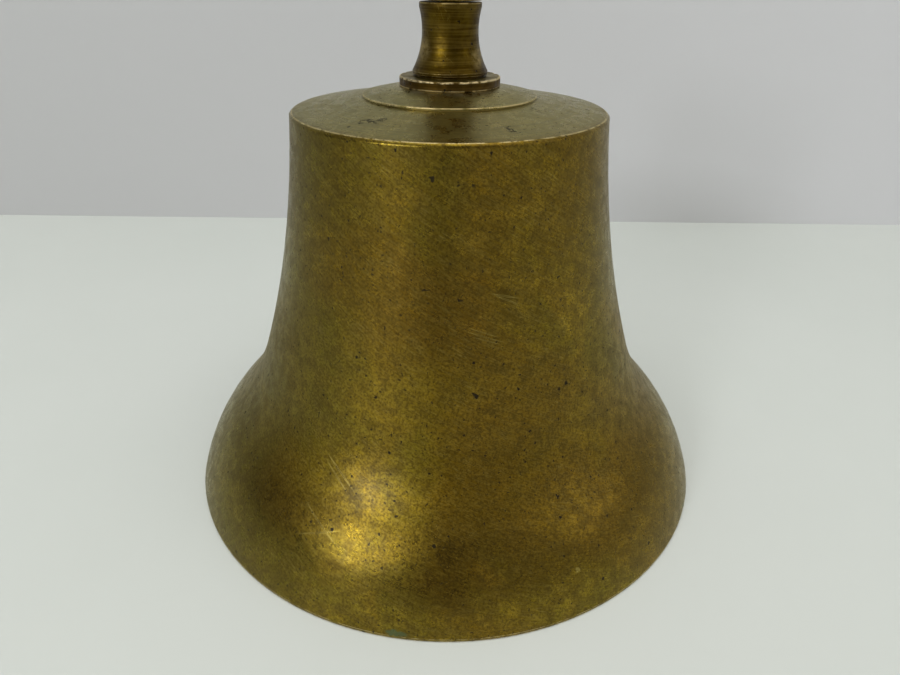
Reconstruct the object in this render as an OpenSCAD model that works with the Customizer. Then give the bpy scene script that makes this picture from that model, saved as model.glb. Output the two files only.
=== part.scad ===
// Hanging ship's bell: a turned brass bell with a necked stem, a swivelling hanging eye
// and a clapper on a clevis pin. It stands on its lip: origin at the centre of the mouth, +Z up.

/* [Bell] */
// Radius of the mouth at the lip
mouth_r = 69.7; // [64:0.1:84]
// Height of the crown's outer edge above the lip
shoulder_h = 95.4; // [79:0.1:114]
// Radius of the waist where it meets the crown
shoulder_r = 36.3; // [34:0.1:39]
// Width of the broken edge between waist and crown
edge_w = 0.5; // [0.3:0.1:2]
// Height of the upright edge of the lip
lip_h = 0.8; // [0.5:0.1:2]
// Width of the flat that the lip rests on
lip_w = 3.4; // [2:0.1:5]
// Taper of the waist at the crown, from upright
crown_angle = 4.5; // [3:0.5:6]
// Taper where the waist turns into the throat
waist_angle = 19; // [17:0.5:21]
// Steepest taper of the flare
flare_angle = 44; // [42:0.5:46]
// Taper where the flare reaches the lip
lip_angle = 17; // [14:0.5:20]
// Radius of the rounded flare above the lip
flare_arc = 48; // [40:1:56]
// Wall of the waist
wall = 4; // [3:0.1:5]
// Taper of the striking band inside the mouth
band_angle = 29; // [26:0.5:32]
// Height of the bevel inside the lip
bevel_h = 5; // [3:0.1:7]

/* [Crown] */
// Slope of the crown
crown_slope = 9.5; // [8:0.5:15]
// Slope of the raised boss
boss_slope = 12; // [8:0.5:15]
// Radius of the raised boss
boss_r = 19.9; // [17:0.1:24]
// Height of the boss's step
boss_h = 0.55; // [0.3:0.05:1.5]
// Thickness of the crown beneath the collar
crown_wall = 6.3; // [5:0.1:8]
// Width of the bevel between ceiling and wall inside
ceiling_bevel = 4.6; // [3:0.1:6]

/* [Stem] */
// Radius of the collar
collar_r = 11.4; // [9.5:0.1:13.7]
// Thickness of the collar
collar_h = 2.1; // [1.5:0.1:3]
// Height of the neck
neck_h = 14.7; // [13:0.1:18]
// Radius of the neck's top rim
neck_top_r = 6.8; // [6.5:0.1:7.2]
// Radius of the neck's waist
neck_waist_r = 6.2; // [6:0.1:6.4]
// Radius of the hollow turned around the neck
neck_arc = 16.5; // [15:0.5:18]
// Height of the waist above the neck's foot
neck_waist_h = 9.4; // [9:0.1:10]

/* [Hanging eye] */
// Radius of the hole in the eye
eye_hole_r = 7; // [5:0.1:8.4]
// Width of metal around the hole
eye_rim = 5.5; // [4.5:0.1:7]
// Thickness of the eye
eye_t = 8.4; // [7:0.1:9]
// Height of the stem between shoulder and ring
eye_stem_h = 2.6; // [2:0.1:4]
// Thickness of the eye's shoulder
eye_shoulder_h = 2.2; // [1.8:0.1:3]
// Radius of the eye's shank
shank_r = 2.25; // [2:0.05:2.5]

/* [Fixing] */
// Radius of the central stud
stud_r = 4; // [3.3:0.05:4.2]
// Width of the crown nut across its flats
nut_af = 13; // [11.5:0.5:15]
// Thickness of the crown nut
nut_h = 6.5; // [5.5:0.1:8]
// Radius of the leather washer
leather_r = 11; // [9.2:0.1:11.5]
// Thickness of the leather washer
leather_h = 2; // [1.5:0.1:3]
// Radius of the brass washer
washer_r = 10; // [8:0.1:11.4]
// Thickness of the brass washer
washer_h = 1.5; // [1:0.1:2]
// Radius of the clapper fork
fork_r = 8; // [7.6:0.1:9.6]
// Thickness of each cheek of the fork
cheek_t = 3.4; // [2.8:0.1:4]
// Radius of the clapper pin
pin_r = 2; // [1.7:0.05:2.4]

/* [Clapper] */
// Radius of the clapper ball
ball_r = 13; // [10:0.1:15.6]
// Height of the ball's centre above the lip
ball_z = 26; // [24:0.5:31]
// Radius of the clapper rod
rod_r = 2.8; // [2.6:0.05:3]
// Radius of the head that turns on the pin
head_r = 6; // [5.5:0.1:7]
// Thickness of the head
head_t = 6; // [5.8:0.1:7]
// Radius of the bush's outside
bush_r = 3.5; // [3.1:0.1:4.2]
// Radius of the tail's lanyard hole
lanyard_r = 2.1; // [1.8:0.1:2.4]
// Radius of the tail's eye
tail_r = 4.2; // [4:0.1:4.8]
// Thickness of the tail's eye
tail_t = 4.4; // [3.5:0.1:5]

/* [Clearances] */
// Radial gap of a plain hole around the stud
hole_gap = 0.2; // [0.1:0.05:0.4]
// Radial gap left in a threaded hole
thread_gap = 0.05; // [0.02:0.01:0.1]
// Radial gap of a turning fit
running_gap = 0.05; // [0.03:0.01:0.08]
// Gap under the eye's shoulder
swivel_gap = 0.3; // [0.2:0.05:0.5]
// Gap between the swivel washer and the seat it turns on
washer_gap = 0.1; // [0.05:0.05:0.2]
// Gap on each side of the clapper head
head_gap = 0.2; // [0.1:0.05:0.4]

/* [Hidden] */
$fn = 120;

// Directions and the chain of tangent arcs down the outside of the bell. The waist and throat
// are hollow arcs, and the flare is a rounded one. Their two radii follow from the end points.
function out(angle) = [cos(angle), sin(angle)];
function turn(from, to) = out(from) - out(to);
chain = [mouth_r, lip_h] - [shoulder_r, shoulder_h] - flare_arc * turn(lip_angle, flare_angle);
waist_turn = turn(crown_angle, waist_angle);
throat_turn = turn(waist_angle, flare_angle);
chain_det = waist_turn[0] * throat_turn[1] - throat_turn[0] * waist_turn[1];
waist_arc = (chain[0] * throat_turn[1] - throat_turn[0] * chain[1]) / chain_det;
throat_arc = (waist_turn[0] * chain[1] - chain[0] * waist_turn[1]) / chain_det;
waist_centre = [shoulder_r, shoulder_h] + waist_arc * out(crown_angle);
throat_centre = waist_centre - (waist_arc - throat_arc) * out(waist_angle);
flare_centre = throat_centre - (throat_arc + flare_arc) * out(flare_angle);
arc_fn = 360;

// Broken edges, from the finest to the nut's chamfer
bush_break = 0.05;
thin_break = 0.15;
collar_break = 0.25;
washer_break = 0.3;
pin_break = 0.4;
stud_break = 0.5;
nut_break = 0.8;

// Length by which one solid runs into or past another so that they join or cut cleanly
lap = 1;

// Crown heights, from its edge up to the collar's seat and down to the ceiling inside
crown_r = shoulder_r - edge_w;
seat_w = 0.5;
seat_r = collar_r + seat_w;
step_z = shoulder_h + (crown_r - boss_r) * tan(crown_slope);
seat_z = step_z + boss_h + (boss_r - seat_r) * tan(boss_slope);
ceiling_z = seat_z - crown_wall;
ceiling_margin = 1;
ceiling_flat_r = max(leather_r, washer_r) + ceiling_margin;

// Heights of the stem
neck_z = seat_z + collar_h;
neck_top_z = neck_z + neck_h;
neck_waist_z = neck_z + neck_waist_h;
foot_groove_h = 0.5;
foot_groove_w = 0.7;
foot_ring_h = 0.6;
foot_r = neck_waist_r + neck_arc
    - sqrt(pow(neck_arc, 2) - pow(neck_waist_h - foot_groove_h - foot_ring_h, 2));
rim_h = 0.8;

// Swivel: the shank turns in the top of the neck and is riveted over a washer
shoulder_z = neck_top_z + swivel_gap;
swivel_depth = 4.6;
swivel_washer_gap = 0.7;
swivel_seat_z = neck_top_z - swivel_depth;
swivel_washer_r = stud_r - swivel_washer_gap;
swivel_washer_h = 0.8;
rivet_h = 1.2;
rivet_inset = 0.2;
rivet_dome_w = 1;
rivet_r = swivel_washer_r - rivet_inset;
washer_top_z = swivel_seat_z - washer_gap;
rivet_z = washer_top_z - swivel_washer_h - rivet_h;
stem_z = shoulder_z + eye_shoulder_h;
eye_sink = 0.8;
eye_z = stem_z + eye_stem_h + eye_rim + eye_hole_r - eye_sink;
eye_round = 2;
eye_bore_round = 0.6;
eye_stem_lap = 1.5;
eye_stem_top_z = eye_z - eye_hole_r - eye_stem_lap;
eye_stem_step = 2.4;
eye_stem_r = neck_top_r - eye_stem_step;
eye_stem_flare = 1.4;
eye_stem_fillet = [0.4, 1];

// Fixing stack under the crown, hung from the ceiling downwards
leather_z = ceiling_z - leather_h;
washer_z = leather_z - washer_h;
nut_z = washer_z - nut_h;
rivet_clear = 0.6;
stud_top_z = rivet_z - rivet_clear;
stud_grip = 6;
fork_top_h = 7.2;
slot_z = nut_z - fork_top_h;
slot_clear = 0.8;
pin_z = slot_z - head_r - slot_clear;
slot_half = head_t / 2 + head_gap;
fork_half = slot_half + cheek_t;
fork_inset = 1;

// Clevis pin, its washer and the split pin
pin_head_w = 1.5;
pin_head_r = pin_r + pin_head_w;
pin_head_h = 1.4;
pin_washer_h = 0.8;
split_r = 0.7;
split_gap = 0.3;
split_y = -fork_half - pin_washer_h - split_r - split_gap;
pin_tip_h = 1.5;
pin_end_y = split_y - pin_tip_h;

// Clapper heights from the ball down to the tail
spigot_step = 0.4;
spigot_r = rod_r - spigot_step;
ball_top_z = ball_z + sqrt(pow(ball_r, 2) - pow(rod_r, 2));
boss_tail_step = 0.2;
boss_tail_r = tail_r - boss_tail_step;
ball_foot_z = ball_z - sqrt(pow(ball_r, 2) - pow(tail_r, 2));
boss_tail_h = 4.4;
tail_drop = 2.7;
tail_z = ball_foot_z - boss_tail_h - tail_drop;
spigot_end = 1.2;
spigot_clear = 0.2;

// Everything inside a hollow arc's circle, between two heights
module hollow_slice(centre, radius, low, high) {
    difference() {
        translate([0, low]) square([mouth_r, high - low]);
        translate(centre) circle(r = radius, $fn = arc_fn);
    }
}

module round_slice(centre, radius, low, high) {
    intersection() {
        translate([0, low]) square([mouth_r, high - low]);
        translate(centre) circle(r = radius, $fn = arc_fn);
    }
}

// Solid outline of the bell's outside, as a half section
module bell_outside() {
    waist_z = waist_centre[1] - waist_arc * sin(waist_angle);
    throat_z = throat_centre[1] - throat_arc * sin(flare_angle);
    bottom = shoulder_h - edge_w;
    hollow_slice(waist_centre, waist_arc, waist_z, bottom);
    hollow_slice(throat_centre, throat_arc, throat_z, waist_z);
    round_slice(flare_centre, flare_arc, lip_h, throat_z);
    square([mouth_r, lip_h]);
    waist_r = waist_centre[0] - sqrt(pow(waist_arc, 2) - pow(waist_centre[1] - bottom, 2));
    polygon([[0, bottom], [waist_r, bottom], [crown_r, shoulder_h], [boss_r, step_z],
        [boss_r, step_z + boss_h], [seat_r, seat_z], [0, seat_z]]);
}

// Outline of the hollow inside: ceiling, waist, striking band and lip bevel
module bell_inside() {
    inner_waist = waist_arc + wall;
    inner_throat = throat_arc + wall;
    throat_z = waist_centre[1] - inner_waist * sin(waist_angle);
    band = throat_centre - inner_throat * out(band_angle);
    band_r = band[0] + (band[1] - bevel_h) * tan(band_angle);
    wall_r = shoulder_r - wall;
    slope = tan(crown_slope);
    corner_z = ceiling_z - (wall_r - ceiling_bevel - ceiling_flat_r) * slope;
    bevel_z = corner_z - ceiling_bevel;
    bevel_r = waist_centre[0] - sqrt(pow(inner_waist, 2) - pow(waist_centre[1] - bevel_z, 2));
    polygon([[0, bevel_z], [bevel_r, bevel_z], [wall_r - ceiling_bevel, corner_z],
        [ceiling_flat_r, ceiling_z], [0, ceiling_z]]);
    hollow_slice(waist_centre, inner_waist, throat_z, bevel_z);
    hollow_slice(throat_centre, inner_throat, band[1], throat_z);
    polygon([[0, 0], [mouth_r - lip_w, 0], [band_r, bevel_h], band, [0, band[1]]]);
}

// Turned brass bell, open below, bored through the crown for the stud
module bell_shell() {
    color([0.42, 0.33, 0.11])
    rotate_extrude() difference() {
        bell_outside();
        bell_inside();
        square([stud_r + hole_gap, seat_z + lap]);
    }
}

// Half section of a washer with its upper and lower edges broken
module ring_section(inner, outer, low, high, bevel) {
    polygon([[inner, low], [outer - bevel, low], [outer, low + bevel], [outer, high - bevel],
        [outer - bevel, high], [inner, high]]);
}

// Collar between the crown and the neck
module crown_collar() {
    color([0.24, 0.17, 0.05])
    rotate_extrude() ring_section(stud_r + hole_gap, collar_r, seat_z, neck_z, collar_break);
}

// Hollow-sided neck, tapped from below for the stud and bored from above for the swivel
module neck_spool() {
    color([0.33, 0.25, 0.07])
    difference() {
        rotate_extrude() {
            arc_low = neck_z + foot_groove_h + foot_ring_h;
            translate([0, neck_z]) square([foot_r - foot_groove_w, foot_groove_h]);
            translate([0, neck_z + foot_groove_h]) square([foot_r, foot_ring_h]);
            difference() {
                translate([0, arc_low]) square([foot_r, neck_top_z - rim_h - arc_low]);
                translate([neck_waist_r + neck_arc, neck_waist_z]) circle(r = neck_arc);
            }
            translate([0, neck_top_z - rim_h]) square([neck_top_r, rim_h]);
        }
        translate([0, 0, neck_z - lap])
            cylinder(r = stud_r + thread_gap, h = swivel_seat_z - neck_z + lap);
        translate([0, 0, swivel_seat_z - lap])
            cylinder(r = shank_r + running_gap, h = swivel_depth + 2 * lap);
    }
}

// Section of the eye's ring: a flat bore with rounded outer corners
module eye_section() {
    half = eye_t / 2;
    outer = eye_hole_r + eye_rim;
    flat_w = eye_rim - eye_round;
    translate([eye_hole_r, eye_bore_round - half]) square([flat_w, eye_t - 2 * eye_bore_round]);
    translate([eye_hole_r + eye_bore_round, -half]) square([flat_w - eye_bore_round, eye_t]);
    translate([outer - eye_rim / 2, eye_round - half]) square([eye_rim / 2, eye_t - 2 * eye_round]);
    for (side = [-1, 1]) {
        translate([outer - eye_round, side * (half - eye_round)]) circle(r = eye_round);
        translate([eye_hole_r + eye_bore_round, side * (half - eye_bore_round)])
            circle(r = eye_bore_round);
    }
}

// Eye that the bell hangs by, with a shank riveted inside the neck
module hanging_eye() {
    color([0.45, 0.36, 0.13])
    union() {
        translate([0, 0, eye_z]) rotate([90, 0, 0]) rotate_extrude() eye_section();
        rotate_extrude() {
            ring_section(0, neck_top_r, shoulder_z, stem_z, pin_break);
            polygon([[0, stem_z], [eye_stem_r + eye_stem_flare, stem_z],
                [eye_stem_r, stem_z] + eye_stem_fillet, [eye_stem_r, eye_stem_top_z],
                [0, eye_stem_top_z]]);
            translate([0, rivet_z]) square([shank_r, shoulder_z + eye_shoulder_h / 2 - rivet_z]);
            polygon([[0, rivet_z], [rivet_r - rivet_dome_w, rivet_z], [rivet_r, rivet_z + rivet_h / 2],
                [rivet_r, rivet_z + rivet_h], [0, rivet_z + rivet_h]]);
        }
    }
}

// Hard washer that the riveted shank draws against inside the neck
module swivel_washer() {
    color([0.50, 0.48, 0.42])
    rotate_extrude()
        ring_section(shank_r + running_gap, swivel_washer_r, rivet_z + rivet_h, washer_top_z, thin_break);
}

// Threaded stud that clamps neck, collar and crown together and carries the fork
module crown_stud() {
    color([0.55, 0.44, 0.18])
    rotate_extrude() ring_section(0, stud_r, nut_z - stud_grip, stud_top_z, stud_break);
}

// Leather washer against the ceiling of the bell
module leather_washer() {
    color([0.30, 0.19, 0.10])
    rotate_extrude() ring_section(stud_r + hole_gap, leather_r, leather_z, ceiling_z, washer_break);
}

// Brass washer that spreads the nut's load over the leather
module crown_washer() {
    color([0.55, 0.44, 0.18])
    rotate_extrude() ring_section(stud_r + hole_gap, washer_r, washer_z, leather_z, washer_break);
}

// Hexagon nut on the stud, with both faces chamfered
module crown_nut() {
    color([0.58, 0.47, 0.20])
    difference() {
        intersection() {
            translate([0, 0, nut_z]) cylinder(r = nut_af / sqrt(3), h = nut_h, $fn = 6);
            rotate_extrude() ring_section(0, nut_af / sqrt(3) - thin_break, nut_z, washer_z, nut_break);
        }
        translate([0, 0, nut_z - lap]) cylinder(r = stud_r + thread_gap, h = nut_h + 2 * lap);
    }
}

// Slotted fork on the stud's lower end
module clapper_fork() {
    color([0.52, 0.42, 0.16])
    difference() {
        intersection() {
            translate([0, 0, pin_z - fork_r]) cylinder(r = fork_r, h = nut_z - pin_z + fork_r);
            union() {
                translate([-fork_r, -fork_half, pin_z]) cube([2 * fork_r, 2 * fork_half, nut_z - pin_z]);
                translate([0, fork_half, pin_z]) rotate([90, 0, 0])
                    cylinder(r = fork_r - fork_inset, h = 2 * fork_half);
            }
        }
        translate([-fork_r - lap, -slot_half, pin_z - fork_r - lap])
            cube([2 * fork_r + 2 * lap, 2 * slot_half, slot_z - pin_z + fork_r + lap]);
        translate([0, fork_half + lap, pin_z]) rotate([90, 0, 0])
            cylinder(r = pin_r + running_gap, h = 2 * fork_half + 2 * lap);
        translate([0, 0, slot_z - lap]) cylinder(r = stud_r + thread_gap, h = fork_top_h + 2 * lap);
    }
}

// Headed pin through the fork, cross-drilled for the split pin
module clapper_pin() {
    color([0.60, 0.58, 0.52])
    difference() {
        rotate([-90, 0, 0]) translate([0, -pin_z, 0]) rotate_extrude() {
            ring_section(0, pin_r, pin_end_y, fork_half + pin_head_h / 2, pin_break);
            ring_section(0, pin_head_r, fork_half, fork_half + pin_head_h, pin_break);
        }
        translate([0, split_y, pin_z - pin_r - lap])
            cylinder(r = split_r + thread_gap, h = 2 * pin_r + 2 * lap);
    }
}

// Washer between the fork and the split pin
module pin_washer() {
    color([0.60, 0.58, 0.52])
    translate([0, -fork_half, pin_z]) rotate([90, 0, 0]) rotate_extrude()
        ring_section(pin_r + running_gap, pin_head_r, 0, pin_washer_h, thin_break);
}

// Split pin: an eye above, two legs spread below
module split_pin() {
    leg_r = 0.45;
    leg_l = 3;
    leg_apart = 0.2;
    spread = 35;
    eye_r = 1.5;
    below = 0.4;
    above = 0.8;
    color([0.62, 0.60, 0.55])
    translate([0, split_y, pin_z]) union() {
        translate([0, 0, -pin_r - below]) cylinder(r = split_r, h = 2 * pin_r + below + above);
        translate([0, 0, pin_r + above + eye_r - leg_apart]) rotate([90, 0, 0])
            rotate_extrude() translate([eye_r, 0]) circle(r = leg_r);
        for (side = [-1, 1])
            translate([side * leg_apart, 0, -pin_r]) rotate([0, 180 - side * spread, 0])
                cylinder(r = leg_r, h = leg_l);
    }
}

// Bronze bush pressed into the clapper's head
module clapper_bush() {
    color([0.50, 0.33, 0.14])
    translate([0, head_t / 2, pin_z]) rotate([90, 0, 0]) rotate_extrude()
        ring_section(pin_r + running_gap, bush_r, 0, head_t, bush_break);
}

// Clapper rod: a flat head on the pin, a round shank and a threaded spigot
module clapper_rod() {
    color([0.50, 0.40, 0.15])
    difference() {
        union() {
            translate([0, head_t / 2, pin_z]) rotate([90, 0, 0]) cylinder(r = head_r, h = head_t);
            translate([0, 0, ball_top_z]) cylinder(r = rod_r, h = pin_z - ball_top_z);
            translate([0, 0, ball_foot_z - boss_tail_h + spigot_end])
                cylinder(r = spigot_r, h = ball_top_z - ball_foot_z + boss_tail_h);
        }
        translate([0, head_t, pin_z]) rotate([90, 0, 0]) cylinder(r = bush_r, h = 2 * head_t);
    }
}

// Ball that strikes the bell, flatted above and below where rod and tail clamp it
module clapper_ball() {
    color([0.48, 0.38, 0.14])
    difference() {
        intersection() {
            translate([0, 0, ball_z]) sphere(r = ball_r);
            translate([0, 0, ball_foot_z]) cylinder(r = ball_r + lap, h = ball_top_z - ball_foot_z);
        }
        translate([0, 0, ball_foot_z - lap])
            cylinder(r = spigot_r + thread_gap, h = ball_top_z - ball_foot_z + 2 * lap);
    }
}

// Tail screwed on below the ball, with an eye for the lanyard
module clapper_tail() {
    color([0.50, 0.40, 0.15])
    difference() {
        union() {
            translate([0, 0, ball_foot_z - boss_tail_h]) cylinder(r = boss_tail_r, h = boss_tail_h);
            translate([0, tail_t / 2, tail_z]) rotate([90, 0, 0]) cylinder(r = tail_r, h = tail_t);
        }
        translate([0, 0, ball_foot_z - boss_tail_h + spigot_end - spigot_clear])
            cylinder(r = spigot_r + thread_gap, h = boss_tail_h);
        translate([0, tail_t, tail_z]) rotate([90, 0, 0]) cylinder(r = lanyard_r, h = 2 * tail_t);
    }
}

bell_shell();
crown_collar();
neck_spool();
hanging_eye();
swivel_washer();
crown_stud();
leather_washer();
crown_washer();
crown_nut();
clapper_fork();
clapper_pin();
pin_washer();
split_pin();
clapper_bush();
clapper_rod();
clapper_ball();
clapper_tail();
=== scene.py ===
"""A hanging ship's bell of turned brass, standing on its lip, with its clapper and its swivelling eye."""
import math

import bpy
import bmesh
from mathutils import Matrix, Vector


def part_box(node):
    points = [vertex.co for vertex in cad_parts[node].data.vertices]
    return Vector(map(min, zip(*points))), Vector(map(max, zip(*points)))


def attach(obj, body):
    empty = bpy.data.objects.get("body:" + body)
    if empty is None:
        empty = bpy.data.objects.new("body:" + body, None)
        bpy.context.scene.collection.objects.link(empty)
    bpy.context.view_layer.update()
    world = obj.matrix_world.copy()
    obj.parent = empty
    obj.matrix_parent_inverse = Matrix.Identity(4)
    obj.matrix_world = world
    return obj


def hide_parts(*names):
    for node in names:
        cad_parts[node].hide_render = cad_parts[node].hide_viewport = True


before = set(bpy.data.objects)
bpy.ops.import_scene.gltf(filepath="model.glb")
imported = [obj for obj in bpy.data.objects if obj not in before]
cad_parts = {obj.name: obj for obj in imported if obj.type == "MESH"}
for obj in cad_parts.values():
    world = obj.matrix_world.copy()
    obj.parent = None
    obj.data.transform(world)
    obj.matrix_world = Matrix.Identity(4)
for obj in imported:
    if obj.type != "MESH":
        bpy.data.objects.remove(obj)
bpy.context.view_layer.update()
mm = 0.001


# ---------------------------------------------------------------------------------------------------
# The camera and the room
# A hand-held wide lens looks down on the bell from the front. The bell stands on a pale table against
# a pale wall, between a window on the left, a weaker one on the right and a bright ceiling.
lens = 25.4
look_down = math.radians(29.7)
look_left = math.radians(-0.27)
tilt = math.radians(0.67)
camera_back = 154 * mm
camera_height = 122 * mm

camera_data = bpy.data.cameras.new("camera")
camera_data.lens = lens
camera_data.sensor_width = 36
camera_data.clip_start = 0.01
camera = bpy.data.objects.new("camera", camera_data)
bpy.context.scene.collection.objects.link(camera)
aim = (
    Matrix.Rotation(look_left, 4, "Z")
    @ Matrix.Rotation(math.pi / 2 - look_down, 4, "X")
    @ Matrix.Rotation(tilt, 4, "Z")
)
camera.matrix_world = Matrix.Translation((0, -camera_back, camera_height)) @ aim
bpy.context.scene.camera = camera
bpy.context.scene.view_settings.view_transform = "Standard"


def new_material(name):
    """An empty node material: the material and its tree."""
    material = bpy.data.materials.new(name)
    material.use_nodes = True
    material.node_tree.nodes.clear()
    return material, material.node_tree


def add(tree, kind, links=None, **settings):
    """Adds a node, sets what settings says, and feeds its inputs from values or other sockets."""
    node = tree.nodes.new(kind)
    for name, value in settings.items():
        setattr(node, name, value)
    for name, value in (links or {}).items():
        socket = node.inputs[name]
        if isinstance(value, bpy.types.NodeSocket):
            tree.links.new(value, socket)
        else:
            socket.default_value = value
    return node


def maths(tree, operation, a, b=0.0, c=0.0, clamp=False):
    """One Math node: its result."""
    node = add(tree, "ShaderNodeMath", {0: a, 1: b, 2: c}, operation=operation, use_clamp=clamp)
    return node.outputs["Value"]


def vectors(tree, operation, a, b=(0, 0, 0), result="Vector"):
    """One Vector Math node: its result."""
    return add(tree, "ShaderNodeVectorMath", {0: a, 1: b}, operation=operation).outputs[result]


def ramp(tree, value, low, high, to_low=0.0, to_high=1.0):
    """A soft step from one value to another."""
    node = add(tree, "ShaderNodeMapRange", {"Value": value, "From Min": low, "From Max": high,
                                            "To Min": to_low, "To Max": to_high},
               interpolation_type="SMOOTHSTEP")
    return node.outputs["Result"]


def blend_colours(tree, share, a, b, kind="MIX"):
    """Mixes two colours, or multiplies or adds them, by a share."""
    node = add(tree, "ShaderNodeMix", {"Factor": share}, data_type="RGBA", blend_type=kind)
    for socket, colour in ((node.inputs[6], a), (node.inputs[7], b)):
        if isinstance(colour, bpy.types.NodeSocket):
            tree.links.new(colour, socket)
        else:
            socket.default_value = (*colour[:3], 1)
    return node.outputs[2]


def tint(tree, colour, other, mask, share=None):
    """Another colour over this one, where a mask is and by a share of it."""
    amount = mask if share is None else maths(tree, "MULTIPLY", mask, share)
    return blend_colours(tree, amount, colour, other)


def noise(tree, place, scale, detail=3.0, roughness=0.55, distortion=0.0):
    """One Noise node: its value, around 0.5."""
    node = add(tree, "ShaderNodeTexNoise", {"Vector": place, "Scale": scale, "Detail": detail,
                                            "Roughness": roughness, "Distortion": distortion})
    return node.outputs["Fac"]


def panel(name, corners, material, faces=((0, 1, 2, 3),)):
    """A flat sheet for the room."""
    mesh = bpy.data.meshes.new(name)
    mesh.from_pydata(corners, [], faces)
    mesh.materials.append(material)
    sheet = bpy.data.objects.new(name, mesh)
    bpy.context.scene.collection.objects.link(sheet)
    return sheet


def one_sided(tree, colour, roughness):
    """Paint that is clear when it is seen from behind, so that the bell can be looked at from there."""
    paint = add(tree, "ShaderNodeBsdfPrincipled", {"Base Color": colour, "Roughness": roughness})
    clear = add(tree, "ShaderNodeBsdfTransparent")
    behind = add(tree, "ShaderNodeNewGeometry").outputs["Backfacing"]
    either = add(tree, "ShaderNodeMixShader", {0: behind, 1: paint.outputs["BSDF"], 2: clear.outputs["BSDF"]})
    add(tree, "ShaderNodeOutputMaterial", {"Surface": either.outputs["Shader"]})


room = 2.0
wall_y = 0.196
wall_skew = 0.008
table_paint, tree = new_material("table_paint")
place = add(tree, "ShaderNodeTexCoord").outputs["Object"]
cloud = noise(tree, place, 9.0, 4.0)
one_sided(tree, blend_colours(tree, cloud, (0.525, 0.56, 0.53), (0.575, 0.605, 0.58)), 0.6)

# The table is open under the bell, where it can't be seen, so that light reaches the clapper from below.
steps = 64
turns = [2 * math.pi * k / steps for k in range(steps)]
table_z = -0.05 * mm
edge_radii = (69.2 * mm, 1.4 * room)
rings = [(radius * math.cos(a), radius * math.sin(a), table_z) for radius in edge_radii for a in turns]
faces = [(k, k + steps, (k + 1) % steps + steps, (k + 1) % steps) for k in range(steps)]
panel("table", rings, table_paint, faces)

wall_paint_and_light, tree = new_material("wall_paint_and_light")
place = add(tree, "ShaderNodeTexCoord").outputs["Object"]
# The wall's paint is even; its colour is ramped darker on the left and lighter on the right as painted light
# and shade.
across = ramp(tree, add(tree, "ShaderNodeSeparateXYZ", {"Vector": place}).outputs["X"], -0.35, 0.35)
one_sided(tree, blend_colours(tree, across, (0.54, 0.545, 0.55), (0.73, 0.735, 0.76)), 0.8)
left_y = wall_y + wall_skew
right_y = wall_y - wall_skew
wall_corners = [(-room, left_y, 0), (room, right_y, 0), (room, right_y, room), (-room, left_y, room)]
panel("wall", wall_corners, wall_paint_and_light)


def window(name, towards, distance, width, height, power, colour):
    """A soft rectangular lamp in a direction from the bell, facing the bell's middle."""
    lamp_data = bpy.data.lights.new(name, "AREA")
    lamp_data.shape = "RECTANGLE"
    lamp_data.size = width
    lamp_data.size_y = height
    lamp_data.energy = power
    lamp_data.color = colour
    lamp = bpy.data.objects.new(name, lamp_data)
    away = Vector(towards).normalized()
    middle = Vector((0, 0, 60 * mm))
    facing = away.to_track_quat("Z", "Y").to_matrix().to_4x4()
    lamp.matrix_world = Matrix.Translation(middle + away * distance) @ facing
    bpy.context.scene.collection.objects.link(lamp)
    return lamp


window("left_window", (-0.55, -0.72, 0.37), 1.2, 0.30, 0.18, 4.2, (0.97, 0.98, 1.0))
window("right_window", (0.86, -0.33, 0.34), 1.2, 0.5, 0.4, 0.35, (1.0, 0.97, 0.92))
ceiling = window("ceiling", (0.0, -0.10, 1.0), 1.3, 1.6, 1.2, 11.0, (1.0, 1.0, 1.0))
ceiling.visible_glossy = False


def standing_card(name, towards, distance, width, foot, height, strength, colour):
    """A card in front of the bell that only its reflections show: the bright and dark parts of the room."""
    material, tree = new_material(name)
    glow = add(tree, "ShaderNodeEmission", {"Strength": strength, "Color": (*colour, 1)})
    add(tree, "ShaderNodeOutputMaterial", {"Surface": glow.outputs["Emission"]})
    away = Vector((*towards, 0)).normalized()
    middle = away * distance
    side = Vector((-away.y, away.x, 0)) * width / 2
    low, high = Vector((0, 0, foot)), Vector((0, 0, foot + height))
    left, right = middle - side, middle + side
    card = panel(name, [left + low, right + low, right + high, left + high], material)
    for kind in ("camera", "diffuse", "shadow", "transmission", "volume_scatter"):
        setattr(card, "visible_" + kind, False)


standing_card("doorway", (-0.56, -0.83), 0.42, 0.11, 0.001, 0.26, 0.68, (1.0, 0.95, 0.85))
standing_card("dark_sleeve", (-0.12, -1.0), 0.40, 0.075, 0.001, 0.34, 0.17, (1.0, 0.85, 0.6))
standing_card("curtain", (0.30, -0.95), 0.42, 0.10, 0.001, 0.22, 0.55, (1.0, 0.93, 0.8))

# The rest of the room: brighter overhead and underfoot, dim behind the person holding the camera.
world = bpy.data.worlds.new("room")
world.use_nodes = True
tree = world.node_tree
tree.nodes.clear()
direction = add(tree, "ShaderNodeTexCoord").outputs["Generated"]
height = add(tree, "ShaderNodeSeparateXYZ", {"Vector": direction})
up = add(tree, "ShaderNodeMapRange", {"Value": height.outputs["Z"], "From Min": -0.1, "From Max": 0.8,
                                      "To Min": 0.20, "To Max": 0.62})
facing = add(tree, "ShaderNodeVectorMath", {0: direction, 1: (0.05, -0.93, 0.36)}, operation="DOT_PRODUCT")
person = ramp(tree, facing.outputs["Value"], 0.72, 0.97, 1.0, 0.25)
side = add(tree, "ShaderNodeMapRange", {"Value": height.outputs["X"], "From Min": -1.0, "From Max": 0.8,
                                        "To Min": 0.45, "To Max": 1.35})
light = maths(tree, "MULTIPLY", up.outputs["Result"], person)
light = maths(tree, "MULTIPLY", light, side.outputs["Result"])
light = maths(tree, "ADD", light, ramp(tree, height.outputs["Z"], 0.72, 0.95, 0.0, 1.1))
light = maths(tree, "ADD", light, ramp(tree, height.outputs["Z"], -0.7, -0.2, 0.9, 0.0))
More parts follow.
